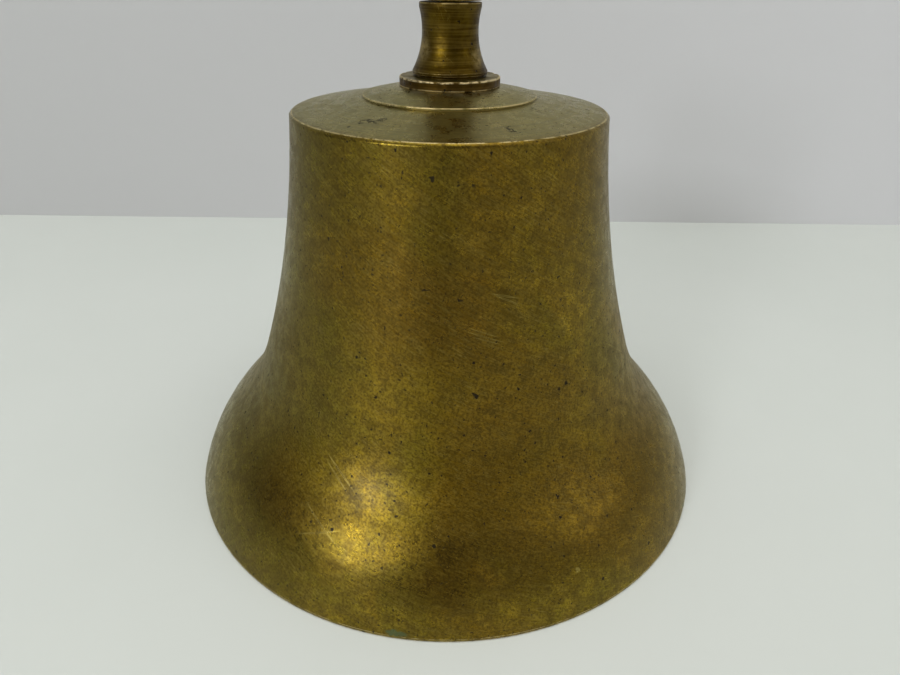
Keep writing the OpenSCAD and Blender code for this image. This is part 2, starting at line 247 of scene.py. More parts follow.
glow = add(tree, "ShaderNodeBackground", {"Color": (1.0, 0.97, 0.90, 1), "Strength": light})
add(tree, "ShaderNodeOutputWorld", {"Surface": glow.outputs["Background"]})
bpy.context.scene.world = world


# ---------------------------------------------------------------------------------------------------
# The bell
# One brass casting, turned all over outside and left as cast inside, with a hole in its crown for the
# stud. Years of handling have left it olive brown and pitted, and worn bright along its edges.
shell_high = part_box("bell_shell")[1]
mouth_r = shell_high.x
lip_h = 0.8 * mm
lip_w = 3.4 * mm
shoulder_h = 95.4 * mm
shoulder_r = 36.3 * mm
edge_w = 0.5 * mm
crown_angle, waist_angle, flare_angle, lip_angle = (math.radians(a) for a in (4.5, 19, 44, 17))
flare_arc = 48 * mm
wall = 4 * mm
band_angle = math.radians(29)
bevel_h = 5 * mm
crown_slope = math.tan(math.radians(9.5))
crown_r = shoulder_r - edge_w
boss_r = 19.9 * mm
boss_h = 0.55 * mm
seat_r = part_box("crown_collar")[1].x + 0.5 * mm
seat_z = shell_high.z
ceiling_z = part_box("leather_washer")[1].z
ceiling_flat_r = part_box("leather_washer")[1].x + 1 * mm
ceiling_bevel = 4.6 * mm
stud_hole_r = 4.2 * mm


def out(angle):
    """The outward direction square to a wall that leans this far from upright."""
    return Vector((math.cos(angle), math.sin(angle)))


# The waist and the throat are hollow arcs and the flare is a rounded one, each tangent to the next.
flare_turn = out(lip_angle) - out(flare_angle)
chain = Vector((mouth_r, lip_h)) - Vector((shoulder_r, shoulder_h)) - flare_arc * flare_turn
waist_turn = out(crown_angle) - out(waist_angle)
throat_turn = out(waist_angle) - out(flare_angle)
both_turns = waist_turn.x * throat_turn.y - throat_turn.x * waist_turn.y
waist_arc = (chain.x * throat_turn.y - throat_turn.x * chain.y) / both_turns
throat_arc = (waist_turn.x * chain.y - chain.x * waist_turn.y) / both_turns
waist_centre = Vector((shoulder_r, shoulder_h)) + waist_arc * out(crown_angle)
throat_centre = waist_centre - (waist_arc - throat_arc) * out(waist_angle)
flare_centre = throat_centre - (throat_arc + flare_arc) * out(flare_angle)


def hollow(centre, radius, start, end, pieces):
    """Plain outline points along an arc whose centre lies outside the wall."""
    turns = [start + (end - start) * i / pieces for i in range(pieces + 1)]
    return [(*(centre - radius * out(turn)), 0) for turn in turns]


def rounded(corners, pieces=5):
    """The points of a closed outline of (radius, height, rounding) corners, and how worn each one is."""
    span = zip(corners, corners[1:] + corners[:1])
    around = 1 if sum(a[0] * b[1] - b[0] * a[1] for a, b in span) > 0 else -1
    points, worn = [], []
    for i, (r, z, rounding) in enumerate(corners):
        here = Vector((r, z))
        back = Vector(corners[i - 1][:2]) - here
        ahead = Vector(corners[(i + 1) % len(corners)][:2]) - here
        if not rounding:
            points.append(here)
            worn.append(0.0)
            continue
        half = back.angle(ahead) / 2
        reach = min(rounding / math.tan(half), 0.4 * back.length, 0.4 * ahead.length)
        radius = reach * math.tan(half)
        start = here + back.normalized() * reach
        end = here + ahead.normalized() * reach
        middle = here + (back.normalized() + ahead.normalized()).normalized() * radius / math.sin(half)
        share = 1.0 if (back.x * ahead.y - back.y * ahead.x) * around < 0 else -1.0
        for side, edge in ((start, back), (end, ahead)):
            support = side + edge.normalized() * min(0.5 * reach, 0.1 * edge.length)
            if side is end:
                for j in range(pieces + 1):
                    way = (start - middle).lerp(end - middle, j / pieces)
                    points.append(middle + way.normalized() * radius)
                    worn.append(share)
            points.append(support)
            worn.append(0.0)
    return points, worn


def show(name, mesh, material, body, node):
    """Puts a finished mesh in the scene in place of its CAD node, riding on its body."""
    if not mesh.materials:
        mesh.materials.append(material)
    piece = bpy.data.objects.new(name, mesh)
    bpy.context.scene.collection.objects.link(piece)
    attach(piece, body)
    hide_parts(node)
    return piece


def turned(name, corners, segments=160, along_y=None):
    """The mesh of a turned piece: its half outline spun about Z, or about a line along Y at a height."""
    points, worn = rounded(corners)
    count = len(points)
    vertices, wear, faces = [], [], []
    for i in range(segments):
        angle = 2 * math.pi * i / segments
        for point, share in zip(points, worn):
            vertices.append((point.x * math.cos(angle), point.x * math.sin(angle), point.y))
            wear.append(share)
    for i in range(segments):
        here, after = i * count, (i + 1) % segments * count
        for j in range(count):
            k = (j + 1) % count
            if points[j].x > 1e-7 or points[k].x > 1e-7:
                faces.append((here + j, here + k, after + k, after + j))
    mesh = bpy.data.meshes.new(name)
    mesh.from_pydata(vertices, [], faces)
    mesh.attributes.new("wear", "FLOAT", "POINT").data.foreach_set("value", wear)
    shape = bmesh.new()
    shape.from_mesh(mesh)
    bmesh.ops.remove_doubles(shape, verts=shape.verts, dist=1e-7)
    bmesh.ops.recalc_face_normals(shape, faces=shape.faces)
    shape.to_mesh(mesh)
    shape.free()
    mesh.shade_smooth()
    if along_y is not None:
        mesh.transform(Matrix.Translation((0, 0, along_y)) @ Matrix.Rotation(-math.pi / 2, 4, "X"))
    return mesh


def turned_ring(name, bore, outer, low, high, edges, segments, along_y=None):
    """A flat ring with its four edges rounded: lower bore, lower rim, upper rim and upper bore, in mm."""
    outline = zip((bore, outer, outer, bore), (low, low, high, high), edges)
    return turned(name, [(radius, z, edge * mm) for radius, z, edge in outline], segments, along_y)


def cylinder(name, radius, low, high, segments, along_y=None):
    """A plain cylinder, to cut with or to build on."""
    return turned(name, [(0, low, 0), (radius, low, 0), (radius, high, 0), (0, high, 0)], segments, along_y)


def new_group(name, inputs, outputs):
    """An empty shader node group with named sockets: its tree, its input node and its output node."""
    tree = bpy.data.node_groups.new(name, "ShaderNodeTree")
    for socket, value in inputs.items():
        kind = "NodeSocketVector" if value is None else "NodeSocketFloat"
        kind = "NodeSocketColor" if isinstance(value, tuple) else kind
        made = tree.interface.new_socket(name=socket, in_out="INPUT", socket_type=kind)
        if value is not None:
            made.default_value = value
    for socket in outputs:
        kind = "NodeSocketColor" if socket == "Color" else "NodeSocketFloat"
        tree.interface.new_socket(name=socket, in_out="OUTPUT", socket_type=kind)
    return tree, tree.nodes.new("NodeGroupInput").outputs, tree.nodes.new("NodeGroupOutput").inputs


# Patina: clouds of tarnish in four sizes, from a hand's touch down to single grains.
patina, gets, gives = new_group("patina", {"Place": None, "Size": 1.0}, ["Broad", "Cloud", "Grain", "Fleck"])
scaled = add(patina, "ShaderNodeVectorMath", {0: gets["Place"], "Scale": gets["Size"]}, operation="SCALE")
place = scaled.outputs["Vector"]
broad = noise(patina, place, 27.0, 2.0, 0.5, 0.8)
patina.links.new(ramp(patina, broad, 0.36, 0.62), gives["Broad"])
cloud = noise(patina, place, 75.0, 4.0, 0.62, 0.6)
patina.links.new(ramp(patina, cloud, 0.36, 0.66), gives["Cloud"])
grain = noise(patina, place, 340.0, 4.0, 0.62, 0.4)
patina.links.new(ramp(patina, grain, 0.34, 0.68), gives["Grain"])
fleck = noise(patina, place, 1900.0, 2.0, 0.7)
patina.links.new(ramp(patina, fleck, 0.35, 0.7), gives["Fleck"])

# Pits: small ragged holes, only here and there, each in its own cell of the surface.
raggedness = 0.9 * mm
pits, gets, gives = new_group("pits", {"Place": None, "Cells": 500.0, "Share": 0.2, "Size": 0.3}, ["Pit"])
shift = add(pits, "ShaderNodeTexNoise", {"Vector": gets["Place"], "Scale": 1600.0, "Detail": 1.0})
ragged = vectors(pits, "SUBTRACT", shift.outputs["Color"], (0.5, 0.5, 0.5))
ragged = vectors(pits, "MULTIPLY", ragged, (raggedness, raggedness, raggedness))
ragged = vectors(pits, "ADD", gets["Place"], ragged)
cells = add(pits, "ShaderNodeTexVoronoi", {"Vector": ragged, "Scale": gets["Cells"], "Randomness": 1.0})
own = add(pits, "ShaderNodeSeparateColor", {"Color": cells.outputs["Color"]})
kept = maths(pits, "LESS_THAN", own.outputs["Red"], gets["Share"])
reach = maths(pits, "MULTIPLY", maths(pits, "MULTIPLY_ADD", own.outputs["Green"], 0.8, 0.2), gets["Size"])
depth = maths(pits, "SUBTRACT", 1.0, maths(pits, "DIVIDE", cells.outputs["Distance"], reach), clamp=True)
pits.links.new(maths(pits, "MULTIPLY", ramp(pits, depth, 0.0, 0.35), kept), gives["Pit"])

# Rubbing lines: fine scratches that all lean the same way around a turned piece, because the piece's
# place is twisted about its axis by its height before it is stretched. A twist of nothing is upright.
rubbing, gets, gives = new_group("rubbing", {"Place": None, "Twist": 18.0, "Fine": 2600.0, "Stretch": 0.03},
                                 ["Line", "Deep"])
parts = add(rubbing, "ShaderNodeSeparateXYZ", {"Vector": gets["Place"]})
turn = maths(rubbing, "MULTIPLY", parts.outputs["Z"], gets["Twist"])
twisted = add(rubbing, "ShaderNodeVectorRotate", {"Vector": gets["Place"], "Angle": turn},
              rotation_type="Z_AXIS")
squash = add(rubbing, "ShaderNodeCombineXYZ", {"X": 1.0, "Y": 1.0, "Z": gets["Stretch"]})
drawn = vectors(rubbing, "MULTIPLY", twisted.outputs["Vector"], squash.outputs["Vector"])
line = noise(rubbing, drawn, gets["Fine"], 3.0, 0.65)
rubbing.links.new(ramp(rubbing, line, 0.38, 0.66), gives["Line"])
thin = noise(rubbing, drawn, maths(rubbing, "MULTIPLY", gets["Fine"], 0.43), 2.0, 0.5)
edge = maths(rubbing, "ABSOLUTE", maths(rubbing, "SUBTRACT", thin, 0.5))
line = ramp(rubbing, edge, 0.0, 0.018, 1.0, 0.0)
gate = ramp(rubbing, noise(rubbing, gets["Place"], 190.0, 2.0), 0.52, 0.66)
rubbing.links.new(maths(rubbing, "MULTIPLY", line, gate), gives["Deep"])

# Turning lines: the rings a lathe tool leaves, which follow the distance from the axis and the height.
turning, gets, gives = new_group("turning", {"Place": None, "Fine": 2400.0}, ["Line"])
parts = add(turning, "ShaderNodeSeparateXYZ", {"Vector": gets["Place"]})
flat = add(turning, "ShaderNodeCombineXYZ", {"X": parts.outputs["X"], "Y": parts.outputs["Y"]})
radius = vectors(turning, "LENGTH", flat.outputs["Vector"], result="Value")
slow = vectors(turning, "MULTIPLY", flat.outputs["Vector"], (0.02, 0.02, 0.02))
rings = add(turning, "ShaderNodeCombineXYZ", {"X": radius, "Z": parts.outputs["Z"]})
rings = vectors(turning, "ADD", rings.outputs["Vector"], slow)
turning.links.new(ramp(turning, noise(turning, rings, gets["Fine"], 3.0, 0.7), 0.36, 0.66), gives["Line"])

# Edge wear: bright metal along the outer edges and dirt in the inner ones, broken up along their length.
edge_wear, gets, gives = new_group("edge_wear", {"Place": None, "Wear": 0.0, "Amount": 0.7},
                                   ["Bright", "Dirt"])
broken = noise(edge_wear, gets["Place"], 420.0, 3.0, 0.7)
broken = maths(edge_wear, "ADD", broken, maths(edge_wear, "MULTIPLY", gets["Amount"], 0.6))
bright = maths(edge_wear, "MULTIPLY", ramp(edge_wear, broken, 0.72, 0.92), gets["Wear"], clamp=True)
edge_wear.links.new(bright, gives["Bright"])
inner = maths(edge_wear, "MULTIPLY", gets["Wear"], -1.0, clamp=True)
edge_wear.links.new(inner, gives["Dirt"])


def group(tree, shared, **values):
    """Places one of the shared effects in a material: its output sockets."""
    node = tree.nodes.new("ShaderNodeGroup")
    node.node_tree = shared
    for name, value in values.items():
        socket = node.inputs[name]
        if isinstance(value, bpy.types.NodeSocket):
            tree.links.new(value, socket)
        else:
            socket.default_value = value
    return node.outputs


def metal(name, anisotropy=0.0):
    """An empty metal finish: its material, its tree, its place on the piece, its edge wear and its shader."""
    material, tree = new_material(name)
    place = add(tree, "ShaderNodeTexCoord").outputs["Object"]
    worn = add(tree, "ShaderNodeAttribute", attribute_name="wear").outputs["Fac"]
    shader = add(tree, "ShaderNodeBsdfPrincipled", {"Metallic": 1.0, "Anisotropic": anisotropy})
    if anisotropy:
        lie = add(tree, "ShaderNodeTangent", direction_type="RADIAL", axis="Z")
        tree.links.new(lie.outputs["Tangent"], shader.inputs["Tangent"])
    add(tree, "ShaderNodeOutputMaterial", {"Surface": shader.outputs["BSDF"]})
    return material, tree, place, worn, shader


def finish_metal(tree, shader, colour, roughness, height, depth):
    """Feeds a metal's colour, roughness and relief to its shader."""
    tree.links.new(colour, shader.inputs["Base Color"])
    tree.links.new(roughness, shader.inputs["Roughness"])
    relief = add(tree, "ShaderNodeBump", {"Height": height, "Strength": 1.0, "Distance": depth})
    tree.links.new(relief.outputs["Normal"], shader.inputs["Normal"])


def wall_radius(height):
    """The bell's outside radius at a height above its lip."""
    for centre, radius, top in wall_arcs:
        if height <= top:
            return centre.x + math.copysign(math.sqrt(radius ** 2 - (height - centre.y) ** 2), radius)
    return crown_r - (height - shoulder_h) / crown_slope


throat_top = flare_centre.y + flare_arc * math.sin(flare_angle)
waist_foot = waist_centre.y - waist_arc * math.sin(waist_angle)
wall_arcs = [(flare_centre, flare_arc, throat_top), (throat_centre, -throat_arc, waist_foot),
             (waist_centre, -waist_arc, shoulder_h)]


mark_depth = 4 * mm
far_away = 9.0


def nearest(tree, place, marks, outline=False):
    """How far the nearest of several marks on the bell is, in that mark's own half widths.

    A mark is its angle round from the front, its height, its length and width in millimetres, and how far
    it leans down to the right. An outline measures from the mark's edge instead of its middle."""
    least = far_away
    for angle, height, long, wide, *lean in marks:
        radius = wall_radius(height * mm)
        turn = math.radians(angle)
        centre = (radius * math.sin(turn), -radius * math.cos(turn), height * mm)
        down = math.radians(lean[0]) if lean else 0
        half_sizes = (long * mm / 2, mark_depth, wide * mm / 2)
        local = add(tree, "ShaderNodeMapping", {"Vector": place, "Location": centre,
                                                "Rotation": (0, down, turn), "Scale": half_sizes},
                    vector_type="TEXTURE")
        far = vectors(tree, "LENGTH", local.outputs["Vector"], result="Value")
        if outline:
            far = maths(tree, "ABSOLUTE", maths(tree, "SUBTRACT", far, 1.0))
        least = maths(tree, "MINIMUM", least, far)
    return least


def within(tree, far, near, edge):
    """A mask of 1 up to one distance from a mark, fading to 0 at another."""
    return ramp(tree, far, near, edge, 1.0, 0.0)


def most(tree, masks):
    """The strongest of several masks."""
    total = masks[0]
    for mask in masks[1:]:
        total = maths(tree, "MAXIMUM", total, mask)
    return total


bell_metal, tree, place, worn, shader = metal("old_turned_brass", 0.2)
shader.inputs["Coat Weight"].default_value = 0.22
shader.inputs["Coat Roughness"].default_value = 0.32
shader.inputs["Specular Tint"].default_value = (0.86, 0.84, 0.70, 1)
clouds = group(tree, patina, Place=place, Size=1.0)
small = group(tree, pits, Place=place, Cells=400.0, Share=0.30, Size=0.20)
tiny = group(tree, pits, Place=place, Cells=900.0, Share=0.55, Size=0.28)
rubbed = group(tree, rubbing, Place=place, Twist=42.0, Fine=2100.0, Stretch=0.08)
cross = group(tree, rubbing, Place=place, Twist=85.0, Fine=1500.0, Stretch=0.10)
lathe = group(tree, turning, Place=place, Fine=3000.0)
edges = group(tree, edge_wear, Place=place, Wear=worn, Amount=0.62)
parts = add(tree, "ShaderNodeSeparateXYZ", {"Vector": place})
up = parts.outputs["Z"]
on_crown = ramp(tree, up, shoulder_h - 0.2 * mm, shoulder_h + 0.4 * mm)
around = vectors(tree, "MULTIPLY", place, (1, 1, 0))
from_axis = vectors(tree, "LENGTH", around, result="Value")
# The front of the wall is tinted a darker olive towards the left and brown in its upper middle, with uneven
# borders.
across = maths(tree, "DIVIDE", parts.outputs["X"], from_axis)
across = maths(tree, "MULTIPLY_ADD", clouds["Broad"], 0.30, maths(tree, "ADD", across, -0.15))
front = ramp(tree, parts.outputs["Y"], -12 * mm, 12 * mm, 1.0, 0.0)
olive_side = maths(tree, "MULTIPLY", ramp(tree, across, -0.70, -0.40, 1.0, 0.0), front)
brown_middle = ramp(tree, maths(tree, "ABSOLUTE", maths(tree, "ADD", across, -0.12)), 0.08, 0.34, 1.0, 0.0)
front = maths(tree, "MULTIPLY", front, ramp(tree, up, 40 * mm, 62 * mm))
brown_middle = maths(tree, "MULTIPLY", brown_middle, front)

# Marks that years of use have left, each at its own angle, height, length, width and lean.
wobble_size = 1.6 * mm
wobble = add(tree, "ShaderNodeTexNoise", {"Vector": place, "Scale": 900.0, "Detail": 2.0})
wobble = vectors(tree, "SUBTRACT", wobble.outputs["Color"], (0.5, 0.5, 0.5))
wobble = vectors(tree, "MULTIPLY", wobble, (wobble_size, wobble_size, wobble_size))
ragged = vectors(tree, "ADD", place, wobble)
black_marks = [(-4.6, 89, 1.1, 0.9), (3.4, 66, 1.5, 0.5, 50), (7.4, 46, 1.3, 1.0, 30), (22, 85, 0.5, 0.4),
               (28, 63, 0.6, 0.4, 20), (12, 79, 0.5, 0.4), (-18, 59, 0.4, 0.8), (-33, 84, 0.5, 0.4),
               (-6, 67.6, 1.8, 0.35, -12), (20, 49, 0.6, 0.5), (-4, 30, 0.6, 0.4), (26, 23, 0.7, 0.5),
               (-14, 27, 0.6, 0.5), (128, 41, 1.3, 0.9, 10), (171, 60, 1.4, 0.5, 40), (-141, 24, 1.1, 0.8),
               (-96, 70, 1.2, 0.5, 60)]
crown_marks = [(-33, 96.8, 4.4, 0.22), (-35.5, 96.6, 2.8, 0.15), (-30, 97.0, 2.2, 0.16),
               (23, 96.32, 2.0, 0.22), (52, 97.6, 2.2, 0.10)]
black = within(tree, nearest(tree, ragged, black_marks + crown_marks), 0.7, 1.15)
clusters = [(8, 34, 5, 2.4), (19, 33, 7, 2), (34, 43, 6, 7), (-13, 12.5, 6, 3.5), (-26, 53, 2.2, 7),
            (37, 16, 2.5, 2), (6.5, 46, 5, 2.6), (5, 88, 5, 3), (-12, 65, 6, 2), (-150, 30, 7, 4)]
crowded = group(tree, pits, Place=place, Cells=750.0, Share=0.62, Size=0.55)
crowded = maths(tree, "MULTIPLY", crowded["Pit"], within(tree, nearest(tree, ragged, clusters), 0.5, 1.1))
black = maths(tree, "MAXIMUM", black, crowded)
scores = [(10.4, 58, 4.2, 0.16, 20), (10.1, 58.9, 3.4, 0.13, 21), (10.9, 57.2, 3.0, 0.13, 19),
          (-26, 27, 5.2, 0.2, 30), (-26.6, 26, 4.2, 0.16, 31), (-27, 17.8, 6.0, 0.17, 24),
          (-27, 16.2, 5.4, 0.17, -18), (16.5, 66, 3.2, 0.2, 15), (17, 65.2, 2.6, 0.18, 24),
          (62, 44, 6.5, 0.18, 35), (-74, 33, 5.0, 0.17, 28), (142, 71, 6.0, 0.17, 38),
          (-160, 47, 7.0, 0.18, 33)]
far = nearest(tree, place, scores)
score = within(tree, far, 0.7, 1.15)
beside = within(tree, far, 1.2, 2.4)
stains = [(25, 77, 2.4, 2.6), (31, 73.6, 1.5, 0.9), (35, 74.5, 0.9, 1.2), (-0.2, 45, 2.8, 1.8),
          (9.7, 43, 2.8, 1.6), (6, 87.5, 2.5, 2.3), (-38, 38, 3.0, 2.4), (-27, 73, 1.6, 1.2),
          (-18, 69, 1.8, 1.1), (3, 67.5, 1.8, 1.4), (96, 58, 3.4, 2.2), (-122, 80, 2.8, 2.4),
          (155, 30, 3.6, 2.6), (-150, 62, 2.2, 1.6), (112, 84, 1.8, 1.4)]
stain = within(tree, nearest(tree, ragged, stains, outline=True), 0.0, 0.25)
smudge = within(tree, nearest(tree, ragged, [(16.5, 66, 4.2, 2.6, 20), (-22, 12, 5, 1.6)]), 0.7, 1.15)
pale = within(tree, nearest(tree, ragged, [(26, 10, 1.4, 0.9, 10), (-118, 20, 1.6, 1.0)]), 0.7, 1.15)
green_marks = [(-8.5, 1.5, 5, 1.4), (64, 1.4, 2.4, 0.9), (171, 1.2, 2.8, 1)]
green = within(tree, nearest(tree, ragged, green_marks), 0.7, 1.15)

olive = (0.212, 0.158, 0.006)
amber = (0.345, 0.228, 0.010)
sienna = (0.215, 0.118, 0.003)
umber = (0.074, 0.045, 0.002)
straw = (0.420, 0.330, 0.080)
soot = (0.018, 0.014, 0.008)
verdigris = (0.10, 0.135, 0.06)
colour = blend_colours(tree, clouds["Cloud"], olive, amber)
colour = tint(tree, colour, sienna, clouds["Broad"], 0.75)
colour = tint(tree, colour, (0.120, 0.100, 0.004), olive_side, 0.6)
colour = tint(tree, colour, (0.212, 0.108, 0.002), brown_middle, 0.45)
colour = tint(tree, colour, umber, clouds["Grain"], 0.60)
colour = tint(tree, colour, straw, rubbed["Line"], 0.22)
colour = tint(tree, colour, umber, cross["Line"], 0.16)
colour = tint(tree, colour, umber, clouds["Fleck"], 0.78)
crown_lines = maths(tree, "MULTIPLY", maths(tree, "MULTIPLY", lathe["Line"], on_crown), 0.35)
# Painted light: the crown's upward face is tinted paler and greyer, standing in for the bright ceiling and
# wall it reflects.
colour = tint(tree, colour, (0.30, 0.30, 0.13), on_crown, 0.35)
colour = tint(tree, colour, straw, crown_lines)
colour = tint(tree, colour, straw, rubbed["Deep"], 0.34)
colour = tint(tree, colour, umber, stain, 0.5)
colour = tint(tree, colour, umber, smudge, 0.55)
colour = tint(tree, colour, straw, pale, 0.7)
by_collar = ramp(tree, from_axis, seat_r - 0.1 * mm, seat_r + 2.6 * mm, 1.0, 0.0)
dust = maths(tree, "MULTIPLY", maths(tree, "MULTIPLY", by_collar, clouds["Grain"]), on_crown)
colour = tint(tree, colour, (0.42, 0.38, 0.28), dust, 0.6)
colour = tint(tree, colour, (0.62, 0.50, 0.24), edges["Bright"], 0.85)
colour = tint(tree, colour, umber, edges["Dirt"], 0.7)
colour = tint(tree, colour, straw, beside, 0.45)
colour = tint(tree, colour, umber, score, 0.75)
pitted = maths(tree, "MAXIMUM", small["Pit"], maths(tree, "MULTIPLY", tiny["Pit"], 0.8))
holes = maths(tree, "MAXIMUM", pitted, black)
colour = tint(tree, colour, soot, holes, 0.9)
colour = tint(tree, colour, verdigris, green, 0.8)
rough = maths(tree, "MULTIPLY_ADD", clouds["Grain"], 0.16, 0.22)
rough = maths(tree, "MULTIPLY_ADD", rubbed["Line"], 0.05, rough)
rough = maths(tree, "MULTIPLY_ADD", holes, 0.4, rough)
throat_dull = maths(tree, "MULTIPLY", ramp(tree, up, 17 * mm, 27 * mm),
                    ramp(tree, up, 46 * mm, 60 * mm, 1, 0))
rough = maths(tree, "MULTIPLY_ADD", throat_dull, 0.16, rough)
height = maths(tree, "MULTIPLY_ADD", rubbed["Line"], 0.07, maths(tree, "MULTIPLY", clouds["Grain"], 0.26))
height = maths(tree, "MULTIPLY_ADD", clouds["Fleck"], 0.12, height)
height = maths(tree, "MULTIPLY_ADD", cross["Line"], 0.04, height)
height = maths(tree, "MULTIPLY_ADD", maths(tree, "MULTIPLY", lathe["Line"], on_crown), 0.12, height)
height = maths(tree, "SUBTRACT", height, pitted)
finish_metal(tree, shader, colour, rough, height, 0.05 * mm)

# Inside, the skin of the casting: dull, dark and grainy, and rubbed bright where the ball strikes it.
cast_skin, tree, place, worn, shader = metal("cast_brass_skin")
clouds = group(tree, patina, Place=place, Size=0.8)
small = group(tree, pits, Place=place, Cells=600.0, Share=0.4, Size=0.35)
height_here = add(tree, "ShaderNodeSeparateXYZ", {"Vector": place}).outputs["Z"]
colour = blend_colours(tree, clouds["Cloud"], (0.115, 0.078, 0.030), (0.175, 0.122, 0.042))
colour = tint(tree, colour, (0.07, 0.05, 0.028), clouds["Grain"], 0.5)
band = maths(tree, "MULTIPLY", ramp(tree, height_here, 24 * mm, 30 * mm),
             ramp(tree, height_here, 36 * mm, 44 * mm, 1, 0))
sides = vectors(tree, "DOT_PRODUCT", vectors(tree, "NORMALIZE", place), (1, 0, 0), "Value")
sides = ramp(tree, maths(tree, "ABSOLUTE", sides), 0.70, 0.86)
struck = maths(tree, "MULTIPLY", maths(tree, "MULTIPLY", band, sides), clouds["Grain"])
colour = tint(tree, colour, (0.42, 0.31, 0.11), struck)
colour = tint(tree, colour, (0.02, 0.016, 0.01), small["Pit"])
rough = maths(tree, "MULTIPLY_ADD", struck, -0.25, maths(tree, "MULTIPLY_ADD", clouds["Grain"], 0.15, 0.55))
height = maths(tree, "ADD", clouds["Grain"], maths(tree, "MULTIPLY", clouds["Fleck"], 0.6))
height = maths(tree, "SUBTRACT", height, small["Pit"])
finish_metal(tree, shader, colour, rough, height, 0.14 * mm)

step_z = shoulder_h + (crown_r - boss_r) * crown_slope
edge_r = waist_centre.x - math.sqrt(waist_arc ** 2 - (waist_centre.y - shoulder_h + edge_w) ** 2)
inner_r = shoulder_r - wall - ceiling_bevel
corner_z = ceiling_z - (inner_r - ceiling_flat_r) * crown_slope
bevel_z = corner_z - ceiling_bevel
inner_waist = waist_arc + wall
inner_throat = throat_arc + wall
bevel_turn = math.asin((waist_centre.y - bevel_z) / inner_waist)
band = throat_centre - inner_throat * out(band_angle)
band_r = band.x + (band.y - bevel_h) * math.tan(band_angle)
flare = hollow(flare_centre, -flare_arc, lip_angle, flare_angle, 26)
throat = hollow(throat_centre, throat_arc, flare_angle, waist_angle, 22)
edge_turn = math.asin((waist_centre.y - shoulder_h + edge_w) / waist_arc)
waist = hollow(waist_centre, waist_arc, waist_angle, edge_turn, 40)
under_edge = math.asin((waist_centre.y - shoulder_h + edge_w + 0.4 * mm) / waist_arc)
support = hollow(waist_centre, waist_arc, under_edge, edge_turn, 1)[0]
outside = [(mouth_r, 0, 0.35 * mm), (mouth_r, lip_h, 0.3 * mm), *flare[1:], *throat[1:], *waist[1:-1],
           support, (edge_r, shoulder_h - edge_w, 0), (crown_r, shoulder_h, 0.5 * mm),
           (boss_r, step_z, 0.15 * mm), (boss_r, step_z + boss_h, 0.25 * mm), (seat_r, seat_z, 0.3 * mm)]
inside = [(stud_hole_r, seat_z, 0.15 * mm), (stud_hole_r, ceiling_z, 0.15 * mm),
          (ceiling_flat_r, ceiling_z, 1.5 * mm), (inner_r, corner_z, 2 * mm),
          *hollow(waist_centre, inner_waist, bevel_turn, waist_angle, 34)[1:],
          *hollow(throat_centre, inner_throat, waist_angle, band_angle, 10)[1:],
          (band_r, bevel_h, 0.6 * mm), (mouth_r - lip_w, 0, 0.4 * mm)]
mesh = turned("bell", outside + inside, 224)
mesh.materials.append(bell_metal)
mesh.materials.append(cast_skin)
for face in mesh.polygons:
    outward = face.normal.x * face.center.x + face.normal.y * face.center.y
    if outward < 0 or face.normal.z < -0.5 and face.center.z > lip_h:
        face.material_index = 1
show("ship_bell", mesh, bell_metal, "bell", "bell_shell")


# ---------------------------------------------------------------------------------------------------
# The collar
# A turned brass disc between crown and neck. Its rim is coloured almost black-brown and its upward faces a
# paler brass, and knocks have left bright chips along its upper edge.
collar_low, collar_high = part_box("crown_collar")
collar_metal, tree, place, worn, shader = metal("tarnished_collar_brass", 0.2)
clouds = group(tree, patina, Place=place, Size=1.6)
lathe = group(tree, turning, Place=place, Fine=2600.0)
edges = group(tree, edge_wear, Place=place, Wear=worn, Amount=0.60)
small = group(tree, pits, Place=place, Cells=900.0, Share=0.3, Size=0.3)
face_up = add(tree, "ShaderNodeSeparateXYZ", {"Vector": add(tree, "ShaderNodeNewGeometry").outputs["Normal"]})
# Faces that point up get the paler colour, the rim the dark one.
top = ramp(tree, face_up.outputs["Z"], 0.6, 0.9)
rim = blend_colours(tree, clouds["Cloud"], (0.055, 0.030, 0.004), (0.105, 0.060, 0.010))
flat = blend_colours(tree, clouds["Cloud"], (0.150, 0.118, 0.026), (0.240, 0.185, 0.045))
colour = blend_colours(tree, top, rim, flat)
colour = tint(tree, colour, (0.06, 0.036, 0.008), clouds["Grain"], 0.45)
colour = tint(tree, colour, (0.26, 0.18, 0.06), lathe["Line"], 0.2)
colour = tint(tree, colour, (0.66, 0.54, 0.30), edges["Bright"])
colour = tint(tree, colour, soot, small["Pit"])
rough = maths(tree, "MULTIPLY_ADD", clouds["Grain"], 0.2, 0.36)
height = maths(tree, "SUBTRACT", maths(tree, "MULTIPLY", lathe["Line"], 0.3), small["Pit"])
finish_metal(tree, shader, colour, rough, height, 0.05 * mm)

collar_r = collar_high.x
mesh = turned_ring("collar", stud_hole_r, collar_r, collar_low.z, collar_high.z, (0.1, 0.25, 0.28, 0.1), 220)
# Knocks: shallow dents pressed inwards along the upper edge, each at its own angle and as deep as its
# millimetres say. A deeper one is wider, by so many degrees for each millimetre.
knock_width = 22
knocks = ((20, 0.20), (64, 0.12), (101, 0.16), (158, 0.14), (203, 0.18), (238, 0.13), (262, 0.2), (287, 0.17),
          (311, 0.14), (336, 0.19))
for vertex in mesh.vertices:
    spot_x, spot_y, spot_z = vertex.co
    radius = math.hypot(spot_x, spot_y)
    if radius < collar_r - 0.5 * mm or spot_z < collar_high.z - 0.5 * mm:
        continue
    turn = math.degrees(math.atan2(spot_y, spot_x)) % 360
    for middle, deep in knocks:
        near = max(0.0, 1 - (abs(turn - middle) / (deep * knock_width)) ** 2)
        inward = 1 - near * deep * mm / radius
        vertex.co *= Vector((inward, inward, 1))
        vertex.co.z -= near * deep * 0.5 * mm
show("crown_collar_ring", mesh, collar_metal, "bell", "crown_collar")


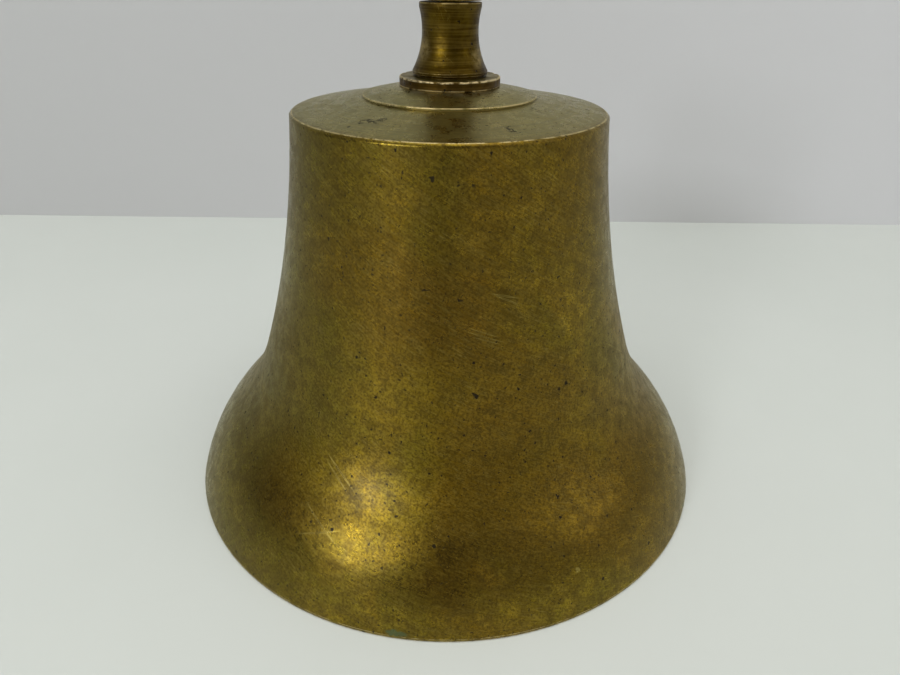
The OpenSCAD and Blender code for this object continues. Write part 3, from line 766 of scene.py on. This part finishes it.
# ---------------------------------------------------------------------------------------------------
# The neck
# A hollow-sided brass spool, tapped from below for the stud. It has a thin groove and ring at its foot
# and a plain rim at its top, where the eye's shoulder turns on it.
neck_low, neck_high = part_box("neck_spool")
eye_low, eye_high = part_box("hanging_eye")
neck_metal, tree, place, worn, shader = metal("mottled_neck_brass", 0.3)
clouds = group(tree, patina, Place=place, Size=1.9)
lathe = group(tree, turning, Place=place, Fine=2600.0)
rubbed = group(tree, rubbing, Place=place, Twist=55.0, Fine=2200.0, Stretch=0.08)
edges = group(tree, edge_wear, Place=place, Wear=worn, Amount=0.55)
small = group(tree, pits, Place=place, Cells=700.0, Share=0.35, Size=0.24)
# Two painted highlights: pale patches where the lamps' reflections fall on the front of the neck, each with
# its middle and its half sizes in millimetres.
neck_highlight = far_away
for middle, half_sizes in (((-6, -3, 108), (2.2, 5, 2.6)), ((6, -3.2, 106.5), (1.6, 5, 2.4))):
    local = add(tree, "ShaderNodeMapping", {"Vector": place, "Location": Vector(middle) * mm,
                                            "Scale": Vector(half_sizes) * mm}, vector_type="TEXTURE")
    far = vectors(tree, "LENGTH", local.outputs["Vector"], result="Value")
    neck_highlight = maths(tree, "MINIMUM", neck_highlight, far)
neck_highlight = maths(tree, "MULTIPLY", ramp(tree, neck_highlight, 0.4, 1.2, 1.0, 0.0), clouds["Grain"])
colour = blend_colours(tree, clouds["Cloud"], (0.042, 0.022, 0.001), (0.088, 0.055, 0.003))
colour = tint(tree, colour, (0.030, 0.015, 0.001), clouds["Grain"], 0.5)
colour = tint(tree, colour, (0.30, 0.21, 0.05), lathe["Line"], 0.25)
colour = tint(tree, colour, straw, rubbed["Deep"], 0.3)
# The painted highlights, broken up by the grain.
colour = tint(tree, colour, (0.40, 0.30, 0.11), neck_highlight, 0.8)
colour = tint(tree, colour, (0.50, 0.39, 0.17), edges["Bright"], 0.6)
colour = tint(tree, colour, (0.02, 0.012, 0.004), edges["Dirt"])
colour = tint(tree, colour, soot, small["Pit"])
rough = maths(tree, "MULTIPLY_ADD", clouds["Grain"], 0.18, 0.32)
height = maths(tree, "SUBTRACT", maths(tree, "MULTIPLY", lathe["Line"], 0.3), small["Pit"])
finish_metal(tree, shader, colour, rough, height, 0.05 * mm)

groove_h = 0.5 * mm
groove_w = 0.7 * mm
ring_h = 0.6 * mm
rim_h = 0.8 * mm
rim_r = 6.8 * mm
spool_waist_r = 6.2 * mm
spool_waist_z = neck_low.z + 9.4 * mm
spool_arc = 16.5 * mm
tapped_r = 4.05 * mm
swivel_r = 2.30 * mm
swivel_seat_z = neck_high.z - 4.6 * mm


def spool_radius(height):
    """The neck's radius where it is hollowed by the arc."""
    return spool_waist_r + spool_arc - math.sqrt(spool_arc ** 2 - (height - spool_waist_z) ** 2)


foot_z = neck_low.z + groove_h + ring_h
foot_r = spool_radius(foot_z)
top_z = neck_high.z - rim_h
steps = 30
heights = [foot_z + (top_z - foot_z) * i / steps for i in range(1, steps)]
hollow_side = [(spool_radius(z), z, 0) for z in heights]
neck_line = [(foot_r - groove_w, neck_low.z, 0.05 * mm), (foot_r - groove_w, neck_low.z + groove_h, 0.1 * mm),
             (foot_r, neck_low.z + groove_h, 0.15 * mm), (foot_r, foot_z, 0.1 * mm), *hollow_side,
             (spool_radius(top_z), top_z, 0.1 * mm), (rim_r, top_z, 0.15 * mm),
             (rim_r, neck_high.z, 0.25 * mm), (swivel_r, neck_high.z, 0.2 * mm),
             (swivel_r, swivel_seat_z, 0.1 * mm),
             (tapped_r, swivel_seat_z, 0.1 * mm), (tapped_r, neck_low.z, 0.2 * mm)]
show("neck", turned("neck", neck_line, 128), neck_metal, "bell", "neck_spool")


# ---------------------------------------------------------------------------------------------------
# The hanging eye
# One brass forging: a ring on a short stem, a turned shoulder under it, and a shank that goes down into
# the neck and is riveted over a washer, so that the eye can swivel. Hooks have rubbed the ring bright.
eye_metal, tree, place, worn, shader = metal("rubbed_eye_brass")
clouds = group(tree, patina, Place=place, Size=1.4)
rubbed = group(tree, rubbing, Place=place, Twist=30.0, Fine=2400.0, Stretch=0.06)
small = group(tree, pits, Place=place, Cells=1100.0, Share=0.18, Size=0.28)
sharp = add(tree, "ShaderNodeNewGeometry").outputs["Pointiness"]
hole_r = 7.0 * mm
ring_w = 5.5 * mm
hole_z = eye_high.z - hole_r - ring_w
middle = vectors(tree, "SUBTRACT", place, (0, 0, hole_z))
flat_place = vectors(tree, "MULTIPLY", middle, (1, 0, 1))
from_hole = vectors(tree, "LENGTH", flat_place, result="Value")
parts = add(tree, "ShaderNodeSeparateXYZ", {"Vector": middle}).outputs
hooked = maths(tree, "MULTIPLY", ramp(tree, from_hole, hole_r + 0.1 * mm, hole_r + 1.6 * mm, 1.0, 0.0),
               ramp(tree, parts["Z"], 1 * mm, 5 * mm))
colour = blend_colours(tree, clouds["Cloud"], (0.230, 0.165, 0.030), (0.330, 0.230, 0.050))
colour = tint(tree, colour, (0.11, 0.075, 0.014), clouds["Grain"], 0.4)
colour = tint(tree, colour, straw, rubbed["Line"], 0.3)
colour = tint(tree, colour, (0.62, 0.47, 0.19), hooked, 0.8)
corners = ramp(tree, maths(tree, "ABSOLUTE", parts["Y"]), 2.4 * mm, 3.6 * mm)
corners = maths(tree, "MULTIPLY", corners, ramp(tree, from_hole, hole_r + 3.4 * mm, hole_r + 4.6 * mm))
corners = maths(tree, "MULTIPLY", corners, maths(tree, "MULTIPLY_ADD", clouds["Grain"], -0.5, 0.8))
colour = tint(tree, colour, (0.58, 0.45, 0.19), corners)
colour = tint(tree, colour, (0.05, 0.03, 0.008), ramp(tree, sharp, 0.40, 0.47, 0.7, 0.0))
colour = tint(tree, colour, soot, small["Pit"])
rough = maths(tree, "MULTIPLY_ADD", hooked, -0.12, maths(tree, "MULTIPLY_ADD", clouds["Grain"], 0.16, 0.33))
height = maths(tree, "MULTIPLY_ADD", rubbed["Line"], 0.2, maths(tree, "MULTIPLY", clouds["Fleck"], 0.15))
finish_metal(tree, shader, colour, rough, maths(tree, "SUBTRACT", height, small["Pit"]), 0.05 * mm)


def applied(name, mesh, *modifiers):
    """The mesh left after some modifiers, given as (type, settings)."""
    bench = bpy.data.objects.new(name, mesh)
    bpy.context.scene.collection.objects.link(bench)
    for kind, settings in modifiers:
        modifier = bench.modifiers.new(kind.lower(), kind)
        for setting, value in settings.items():
            setattr(modifier, setting, value)
    graph = bpy.context.evaluated_depsgraph_get()
    made = bpy.data.meshes.new_from_object(bench.evaluated_get(graph), depsgraph=graph)
    bpy.data.objects.remove(bench)
    made.name = name
    return made


def combined(name, first, others, how="UNION"):
    """One mesh cut by others, or joined to them."""
    for other in others:
        tool = bpy.data.objects.new("tool", other)
        bpy.context.scene.collection.objects.link(tool)
        first = applied(name, first, ("BOOLEAN", {"operation": how, "object": tool, "solver": "EXACT"}))
        bpy.data.objects.remove(tool)
    return first


def flowing(name, solids, grain, strokes):
    """Solids melted into one skin with soft inner corners, as a forging or a casting has."""
    joined = combined(name, solids[0], solids[1:])
    return applied(name, joined, ("REMESH", {"mode": "VOXEL", "voxel_size": grain, "use_smooth_shade": True}),
                   ("SMOOTH", {"factor": 0.5, "iterations": strokes}))


shoulder_z = neck_high.z + 0.3 * mm
stem_z = shoulder_z + 2.2 * mm
stem_r = 4.4 * mm
ring_foot_z = hole_z - hole_r - 1.5 * mm
ring_half = 4.2 * mm
ring = turned_ring("ring", hole_r, hole_r + ring_w, -ring_half, ring_half, (0.6, 1.9, 1.9, 0.6), 128, hole_z)
stem = turned("stem", [(0, stem_z - 1 * mm, 0), (5.6 * mm, stem_z - 1 * mm, 0), (5.6 * mm, stem_z, 0.3 * mm),
                       (stem_r, stem_z + 1.2 * mm, 0.8 * mm), (stem_r, stem_z + 2.4 * mm, 1 * mm),
                       (stem_r + 0.8 * mm, ring_foot_z, 0), (0, ring_foot_z, 0)], 96)
ring_and_stem = flowing("ring_and_stem", [ring, stem], 0.3 * mm, 4)
shank_r = 2.25 * mm
rivet_r = 3.1 * mm
rivet_z = eye_low.z
rivet_h = 1.2 * mm
shank = turned("shank", [(0, rivet_z, 0), (rivet_r - 1 * mm, rivet_z, 0.3 * mm),
                         (rivet_r, rivet_z + rivet_h / 2, 0.4 * mm), (rivet_r, rivet_z + rivet_h, 0.1 * mm),
                         (shank_r, rivet_z + rivet_h, 0.05 * mm), (shank_r, shoulder_z, 0.1 * mm),
                         (rim_r, shoulder_z, 0.3 * mm), (rim_r, stem_z, 0.45 * mm), (5.3 * mm, stem_z, 0),
                         (0, stem_z, 0)], 112)
mesh = combined("eye", shank, [ring_and_stem])
mesh.shade_smooth()
show("swivel_eye", mesh, eye_metal, "eye", "hanging_eye")


# ---------------------------------------------------------------------------------------------------
# The swivel washer and the clapper's pin
# Turned steel, dulled and spotted brown. The washer sits inside the neck above the riveted shank. The
# pin has a flat head on one side of the fork, and a washer and a split pin on the other.
pin_metal, tree, place, worn, shader = metal("dulled_steel")
clouds = group(tree, patina, Place=place, Size=2.4)
lathe = group(tree, turning, Place=place, Fine=3200.0)
edges = group(tree, edge_wear, Place=place, Wear=worn, Amount=0.7)
small = group(tree, pits, Place=place, Cells=1500.0, Share=0.4, Size=0.35)
colour = blend_colours(tree, clouds["Cloud"], (0.30, 0.285, 0.26), (0.40, 0.385, 0.36))
colour = tint(tree, colour, (0.17, 0.12, 0.075), clouds["Grain"], 0.5)
colour = tint(tree, colour, (0.50, 0.49, 0.47), lathe["Line"], 0.25)
colour = tint(tree, colour, (0.66, 0.65, 0.62), edges["Bright"])
colour = tint(tree, colour, (0.10, 0.045, 0.02), small["Pit"])
rough = maths(tree, "MULTIPLY_ADD", clouds["Grain"], 0.22, 0.30)
finish_metal(tree, shader, colour, rough, maths(tree, "SUBTRACT", lathe["Line"], small["Pit"]), 0.03 * mm)

washer_low, washer_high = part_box("swivel_washer")
mesh = turned_ring("swivel_washer", swivel_r, washer_high.x, washer_low.z, washer_high.z,
                   (0.08, 0.15, 0.15, 0.08), 64)
show("swivel_washer_ring", mesh, pin_metal, "eye", "swivel_washer")

pin_low, pin_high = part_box("clapper_pin")
pin_z = (pin_low.z + pin_high.z) / 2
pin_r = 2.0 * mm
head_r = pin_high.x
head_y = pin_high.y - 1.4 * mm
split_y = (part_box("split_pin")[0].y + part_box("split_pin")[1].y) / 2
split_r = 0.7 * mm
mesh = turned("pin", [(0, pin_low.y, 0), (pin_r, pin_low.y, 0.35 * mm), (pin_r, head_y, 0.1 * mm),
                      (head_r, head_y, 0.2 * mm), (head_r, pin_high.y, 0.4 * mm), (0, pin_high.y, 0)],
              72, pin_z)
drill = cylinder("drill", split_r + 0.05 * mm, pin_z - 3 * mm, pin_z + 3 * mm, 32)
drill.transform(Matrix.Translation((0, split_y, 0)))
show("fork_pin", combined("pin", mesh, [drill], "DIFFERENCE"), pin_metal, "bell", "clapper_pin")

washer_low, washer_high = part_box("pin_washer")
bore = pin_r + 0.05 * mm
mesh = turned_ring("pin_washer", bore, washer_high.x, washer_low.y, washer_high.y,
                   (0.1, 0.15, 0.15, 0.1), 64, pin_z)
show("fork_pin_washer", mesh, pin_metal, "bell", "pin_washer")


def wire(name, route, across, sides=12):
    """A closed wire along a route, with rounded ends. Across gives its half thickness along the route."""
    shape = bmesh.new()
    loops = []
    for i, point in enumerate(route):
        ahead = (route[min(i + 1, len(route) - 1)] - route[max(i - 1, 0)]).normalized()
        side = ahead.cross(Vector((0, 1, 0))).normalized()
        up = Vector((0, 1, 0))
        radius = across * (0.6 if i in (0, len(route) - 1) else 1)
        loops.append([shape.verts.new(point + radius * (math.cos(a) * side + math.sin(a) * up))
                      for a in (2 * math.pi * k / sides for k in range(sides))])
    for a, b in zip(loops, loops[1:]):
        for k in range(sides):
            shape.faces.new((a[k], a[(k + 1) % sides], b[(k + 1) % sides], b[k]))
    shape.faces.new(loops[0])
    shape.faces.new(loops[-1])
    bmesh.ops.recalc_face_normals(shape, faces=shape.faces)
    mesh = bpy.data.meshes.new(name)
    shape.to_mesh(mesh)
    shape.free()
    mesh.shade_smooth()
    return mesh


# The split pin is one wire: up one leg, round the eye and down the other, with the legs spread below.
wire_r = 0.34 * mm
eye_middle = Vector((0, split_y, pin_z + pin_r + 2.1 * mm))
eye_ring_r = 1.45 * mm
opening = math.radians(36)
spread = math.radians(35)
leg = 2.8 * mm
knee = Vector((wire_r, split_y, pin_z - pin_r - 0.2 * mm))
route = [knee + Vector((math.sin(spread), 0, -math.cos(spread))) * leg * (1 - i / 6) for i in range(6)]
route += [knee + Vector((0, 0, 1)) * (2 * pin_r + 0.6 * mm) * i / 6 for i in range(7)]
turns = [(opening - math.pi) / 2 + (2 * math.pi - opening) * i / 28 for i in range(29)]
route += [eye_middle + eye_ring_r * Vector((math.cos(t), 0, math.sin(t))) for t in turns]
route += [Vector((-p.x, p.y, p.z)) for p in reversed(route[:13])]
show("split_pin_wire", wire("split_pin", route, wire_r), pin_metal, "bell", "split_pin")


# ---------------------------------------------------------------------------------------------------
# The fixing under the crown
# Machined brass: a stud threaded all along, a washer, a hexagon nut, and the fork that the clapper
# hangs from. They clamp the collar and the neck down on the crown and have dulled evenly.
fixing_metal, tree, place, worn, shader = metal("dulled_machined_brass")
clouds = group(tree, patina, Place=place, Size=1.6)
rubbed = group(tree, rubbing, Place=place, Twist=0.0, Fine=2200.0, Stretch=0.05)
edges = group(tree, edge_wear, Place=place, Wear=worn, Amount=0.7)
small = group(tree, pits, Place=place, Cells=900.0, Share=0.25, Size=0.28)
sharp = add(tree, "ShaderNodeNewGeometry").outputs["Pointiness"]
colour = blend_colours(tree, clouds["Cloud"], (0.300, 0.215, 0.060), (0.420, 0.305, 0.095))
colour = tint(tree, colour, (0.15, 0.095, 0.030), clouds["Grain"], 0.45)
colour = tint(tree, colour, (0.55, 0.42, 0.16), rubbed["Line"], 0.25)
bright = most(tree, [edges["Bright"], ramp(tree, sharp, 0.54, 0.62)])
colour = tint(tree, colour, (0.68, 0.53, 0.25), bright, 0.8)
colour = tint(tree, colour, (0.05, 0.03, 0.01), ramp(tree, sharp, 0.38, 0.47, 0.7, 0.0))
colour = tint(tree, colour, soot, small["Pit"])
rough = maths(tree, "MULTIPLY_ADD", clouds["Grain"], 0.2, 0.30)
height = maths(tree, "MULTIPLY_ADD", rubbed["Line"], 0.3, maths(tree, "MULTIPLY", clouds["Fleck"], 0.2))
finish_metal(tree, shader, colour, rough, maths(tree, "SUBTRACT", height, small["Pit"]), 0.04 * mm)


def threaded(name, radius, low, high, pitch, sides=40, steps=8):
    """A stud with one thread cut all along it, and both ends chamfered."""
    deep = 0.6 * pitch
    rows = round((high - low) / pitch * steps)
    vertices = [(0, 0, low), (0, 0, high)]
    for i in range(rows + 1):
        z = low + (high - low) * i / rows
        limit = radius - deep + min(z - low, high - z)
        for k in range(sides):
            angle = 2 * math.pi * k / sides
            flank = abs(2 * ((z / pitch - k / sides) % 1) - 1)
            cut = min(1.0, max(0.0, (flank - 0.15) / 0.7))
            r = min(radius - cut * deep, limit)
            vertices.append((r * math.cos(angle), r * math.sin(angle), z))
    faces = []
    for k in range(sides):
        after = (k + 1) % sides
        faces.append((0, 2 + after, 2 + k))
        faces.append((1, 2 + rows * sides + k, 2 + rows * sides + after))
        for i in range(rows):
            a = 2 + i * sides
            faces.append((a + k, a + after, a + sides + after, a + sides + k))
    mesh = bpy.data.meshes.new(name)
    mesh.from_pydata(vertices, [], faces)
    mesh.shade_smooth()
    return mesh


def softened(name, mesh, width, corner=40):
    """Breaks every sharp edge of a machined piece."""
    made = applied(name, mesh, ("BEVEL", {"width": width, "segments": 2, "limit_method": "ANGLE",
                                          "angle_limit": math.radians(corner), "use_clamp_overlap": True}))
    made.shade_smooth()
    made.set_sharp_from_angle(angle=math.radians(corner))
    return made


stud_low, stud_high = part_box("crown_stud")
mesh = threaded("stud", stud_high.x, stud_low.z, stud_high.z, 1.25 * mm)
show("crown_stud_thread", mesh, fixing_metal, "bell", "crown_stud")

washer_low, washer_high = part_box("crown_washer")
mesh = turned_ring("crown_washer", stud_hole_r, washer_high.x, washer_low.z, washer_high.z,
                   (0.2, 0.35, 0.3, 0.1), 128)
show("crown_washer_disc", mesh, fixing_metal, "bell", "crown_washer")

nut_low, nut_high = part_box("crown_nut")
nut_r = 13 * mm / math.sqrt(3)
chamfer = 0.8 * mm
thread_r = 4.05 * mm
prism = cylinder("prism", nut_r, nut_low.z, nut_high.z, 6)
disc = turned("disc", [(thread_r - 0.6 * mm, nut_low.z + 0.6 * mm, 0),
                       (thread_r + 0.1 * mm, nut_low.z - 0.1 * mm, 0),
                       (nut_r - chamfer, nut_low.z - 0.01 * mm, 0), (nut_r, nut_low.z + 0.5 * mm, 0),
                       (nut_r, nut_high.z - 0.5 * mm, 0), (nut_r - chamfer, nut_high.z + 0.01 * mm, 0),
                       (thread_r + 0.1 * mm, nut_high.z + 0.1 * mm, 0),
                       (thread_r - 0.6 * mm, nut_high.z - 0.6 * mm, 0)], 96)
mesh = softened("nut", combined("nut", prism, [disc], "INTERSECT"), 0.12 * mm, 25)
show("crown_nut_hexagon", mesh, fixing_metal, "bell", "crown_nut")

fork_low, fork_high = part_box("clapper_fork")
fork_r = fork_high.x
slot_half = 3.2 * mm
slot_z = fork_high.z - 7.2 * mm
reach = 12 * mm
barrel = turned("barrel", [(0, fork_low.z - 1 * mm, 0), (fork_r, fork_low.z - 1 * mm, 0),
                           (fork_r, fork_high.z, 0.5 * mm), (0, fork_high.z, 0)], 96)
cheek = cylinder("cheek", 7 * mm, fork_low.y, fork_high.y, 96, pin_z)


def block(name, low, high):
    """A plain block, to cut with or to build on."""
    shape = bmesh.new()
    bmesh.ops.create_cube(shape, size=1)
    for vertex in shape.verts:
        vertex.co = Vector(low if side < 0 else high for low, high, side in zip(low, high, vertex.co))
    mesh = bpy.data.meshes.new(name)
    shape.to_mesh(mesh)
    shape.free()
    return mesh


upper = block("upper", (-9 * mm, fork_low.y, pin_z), (9 * mm, fork_high.y, fork_high.z))
body = combined("body", upper, [cheek])
body = combined("fork", barrel, [body], "INTERSECT")
slot = block("slot", (-reach, -slot_half, fork_low.z - 2 * mm), (reach, slot_half, slot_z))
pin_hole = cylinder("pin_hole", bore, -reach, reach, 48, pin_z)
tapping = cylinder("tapping", thread_r, slot_z - 1 * mm, fork_high.z + 1 * mm, 48)
mesh = softened("fork", combined("fork", body, [slot, pin_hole, tapping], "DIFFERENCE"), 0.25 * mm)
show("fork", mesh, fixing_metal, "bell", "clapper_fork")


# ---------------------------------------------------------------------------------------------------
# The leather washer
# A disc of oiled leather that beds the fixing against the rough ceiling of the casting. The nut has
# squeezed it, so its cut edge bulges a little.
leather, tree = new_material("oiled_leather")
place = add(tree, "ShaderNodeTexCoord").outputs["Object"]
clouds = group(tree, patina, Place=place, Size=1.8)
pores = add(tree, "ShaderNodeTexVoronoi", {"Vector": place, "Scale": 2200.0}, feature="DISTANCE_TO_EDGE")
crease = ramp(tree, pores.outputs["Distance"], 0.0, 0.16, 1.0, 0.0)
colour = blend_colours(tree, clouds["Cloud"], (0.055, 0.026, 0.011), (0.105, 0.055, 0.024))
colour = tint(tree, colour, (0.035, 0.017, 0.008), clouds["Grain"], 0.5)
colour = tint(tree, colour, (0.018, 0.009, 0.005), crease, 0.6)
shader = add(tree, "ShaderNodeBsdfPrincipled", {"Specular IOR Level": 0.35})
rough = maths(tree, "MULTIPLY_ADD", clouds["Grain"], 0.2, 0.5)
finish_metal(tree, shader, colour, rough, maths(tree, "SUBTRACT", clouds["Grain"], crease), 0.08 * mm)
add(tree, "ShaderNodeOutputMaterial", {"Surface": shader.outputs["BSDF"]})

leather_low, leather_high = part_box("leather_washer")
leather_r = leather_high.x
leather_z = (leather_low.z + leather_high.z) / 2
mesh = turned("leather", [(stud_hole_r, leather_low.z, 0.1 * mm),
                          (leather_r - 0.6 * mm, leather_low.z, 0.3 * mm),
                          (leather_r - 0.1 * mm, leather_z - 0.5 * mm, 0.5 * mm),
                          (leather_r, leather_z, 0.6 * mm),
                          (leather_r - 0.1 * mm, leather_z + 0.5 * mm, 0.5 * mm),
                          (leather_r - 0.5 * mm, leather_high.z, 0.3 * mm),
                          (stud_hole_r, leather_high.z, 0.1 * mm)], 144)
for vertex in mesh.vertices:
    angle = math.atan2(vertex.co.y, vertex.co.x)
    if math.hypot(vertex.co.x, vertex.co.y) > leather_r - 0.8 * mm:
        swell = 1 - 0.006 * (1 + math.sin(5 * angle + 1)) - 0.004 * (1 + math.sin(13 * angle))
        vertex.co.x *= swell
        vertex.co.y *= swell
show("leather_disc", mesh, leather, "bell", "leather_washer")


# ---------------------------------------------------------------------------------------------------
# The clapper
# A brass rod with a flat head that turns on the pin in a bronze bush. The ball is threaded on its lower
# end and locked by the tail, which has a hole for the lanyard.
rod_low, rod_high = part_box("clapper_rod")
ball_low, ball_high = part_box("clapper_ball")
tail_low, tail_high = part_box("clapper_tail")
rod_r = 2.8 * mm
spigot_r = 2.4 * mm
head_r = rod_high.x
head_half = rod_high.y
bush_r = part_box("clapper_bush")[1].x
neck_z = pin_z - 9 * mm
head = turned("head", [(0, -head_half, 0), (head_r, -head_half, 0.5 * mm), (head_r, head_half, 0.5 * mm),
                       (0, head_half, 0)], 96, pin_z)
stub = cylinder("stub", rod_r, neck_z - 1 * mm, pin_z, 64)
upper = flowing("upper", [head, stub], 0.28 * mm, 5)
shank = turned("shank", [(0, rod_low.z, 0), (spigot_r, rod_low.z, 0.4 * mm),
                         (spigot_r, ball_high.z, 0.05 * mm), (rod_r, ball_high.z, 0.3 * mm),
                         (rod_r, neck_z, 0.15 * mm), (0, neck_z, 0)], 80)
bush_hole = cylinder("bush_hole", bush_r, -reach, reach, 64, pin_z)
mesh = combined("rod", combined("rod", shank, [upper]), [bush_hole], "DIFFERENCE")
mesh.shade_smooth()
mesh.set_sharp_from_angle(angle=math.radians(50))
show("clapper_rod_forging", mesh, fixing_metal, "clapper", "clapper_rod")

bronze, tree, place, worn, shader = metal("plain_bronze")
clouds = group(tree, patina, Place=place, Size=2.2)
lathe = group(tree, turning, Place=place, Fine=3200.0)
colour = blend_colours(tree, clouds["Cloud"], (0.300, 0.150, 0.050), (0.400, 0.215, 0.075))
colour = tint(tree, colour, (0.14, 0.07, 0.025), clouds["Grain"], 0.5)
rough = maths(tree, "MULTIPLY_ADD", clouds["Grain"], 0.15, 0.28)
finish_metal(tree, shader, colour, rough, lathe["Line"], 0.02 * mm)
mesh = turned_ring("bush", bore, bush_r, -head_half, head_half, (0.15, 0.12, 0.12, 0.15), 72, pin_z)
show("bush_sleeve", mesh, bronze, "clapper", "clapper_bush")

ball_metal, tree, place, worn, shader = metal("struck_ball_brass")
clouds = group(tree, patina, Place=place, Size=1.3)
rubbed = group(tree, rubbing, Place=place, Twist=25.0, Fine=2000.0, Stretch=0.08)
edges = group(tree, edge_wear, Place=place, Wear=worn, Amount=0.7)
small = group(tree, pits, Place=place, Cells=600.0, Share=0.3, Size=0.28)
sideways = vectors(tree, "SUBTRACT", place, (0, 0, (ball_low.z + ball_high.z) / 2))
sideways = vectors(tree, "DOT_PRODUCT", vectors(tree, "NORMALIZE", sideways), (1, 0, 0), "Value")
struck = ramp(tree, maths(tree, "ABSOLUTE", sideways), 0.86, 0.97)
struck = maths(tree, "MULTIPLY", struck, maths(tree, "MULTIPLY_ADD", clouds["Grain"], 0.5, 0.5))
colour = blend_colours(tree, clouds["Cloud"], (0.200, 0.140, 0.026), (0.290, 0.200, 0.042))
colour = tint(tree, colour, (0.10, 0.066, 0.014), clouds["Grain"], 0.5)
colour = tint(tree, colour, straw, rubbed["Line"], 0.25)
colour = tint(tree, colour, (0.62, 0.47, 0.20), struck, 0.85)
colour = tint(tree, colour, (0.55, 0.42, 0.18), edges["Bright"], 0.7)
colour = tint(tree, colour, soot, small["Pit"])
rough = maths(tree, "MULTIPLY_ADD", struck, -0.14, maths(tree, "MULTIPLY_ADD", clouds["Grain"], 0.18, 0.34))
height = maths(tree, "MULTIPLY_ADD", struck, 0.8, maths(tree, "MULTIPLY", clouds["Grain"], 0.3))
finish_metal(tree, shader, colour, rough, maths(tree, "SUBTRACT", height, small["Pit"]), 0.06 * mm)

ball_r = ball_high.x
ball_z = 26 * mm
ball_bore = spigot_r + 0.05 * mm
low_turn = math.asin((ball_low.z - ball_z) / ball_r)
high_turn = math.asin((ball_high.z - ball_z) / ball_r)
turns = [low_turn + (high_turn - low_turn) * i / 44 for i in range(45)]
round_side = [(ball_r * math.cos(t), ball_z + ball_r * math.sin(t), 0) for t in turns]
ends = [(*round_side[-1][:2], 0.2 * mm), (ball_bore, ball_high.z, 0.15 * mm),
        (ball_bore, ball_low.z, 0.15 * mm)]
mesh = turned("ball", [(*round_side[0][:2], 0.2 * mm), *round_side[1:-1], *ends], 96)
show("clapper_ball_turned", mesh, ball_metal, "clapper", "clapper_ball")

tail_boss_r = 4.0 * mm
boss_foot = ball_low.z - 4.4 * mm
lanyard_r = 2.1 * mm
tail_r = tail_high.x
tail_z = tail_low.z + tail_r
ring = turned_ring("tail_ring", lanyard_r, tail_r, tail_low.y, tail_high.y, (0.6, 0.7, 0.7, 0.6), 72, tail_z)
boss = turned("tail_boss", [(ball_bore, boss_foot + 1 * mm, 0), (ball_bore, ball_low.z, 0),
                            (tail_boss_r, ball_low.z, 0.3 * mm), (tail_boss_r, boss_foot, 0.4 * mm),
                            (0, boss_foot, 0),
                            (0, boss_foot + 1 * mm, 0)], 72)
eye_hole = cylinder("eye_hole", lanyard_r, -reach, reach, 48, tail_z)
boss = combined("tail_boss", boss, [eye_hole], "DIFFERENCE")
mesh = flowing("tail", [ring, boss], 0.2 * mm, 3)
show("clapper_tail_eye", mesh, fixing_metal, "clapper", "clapper_tail")
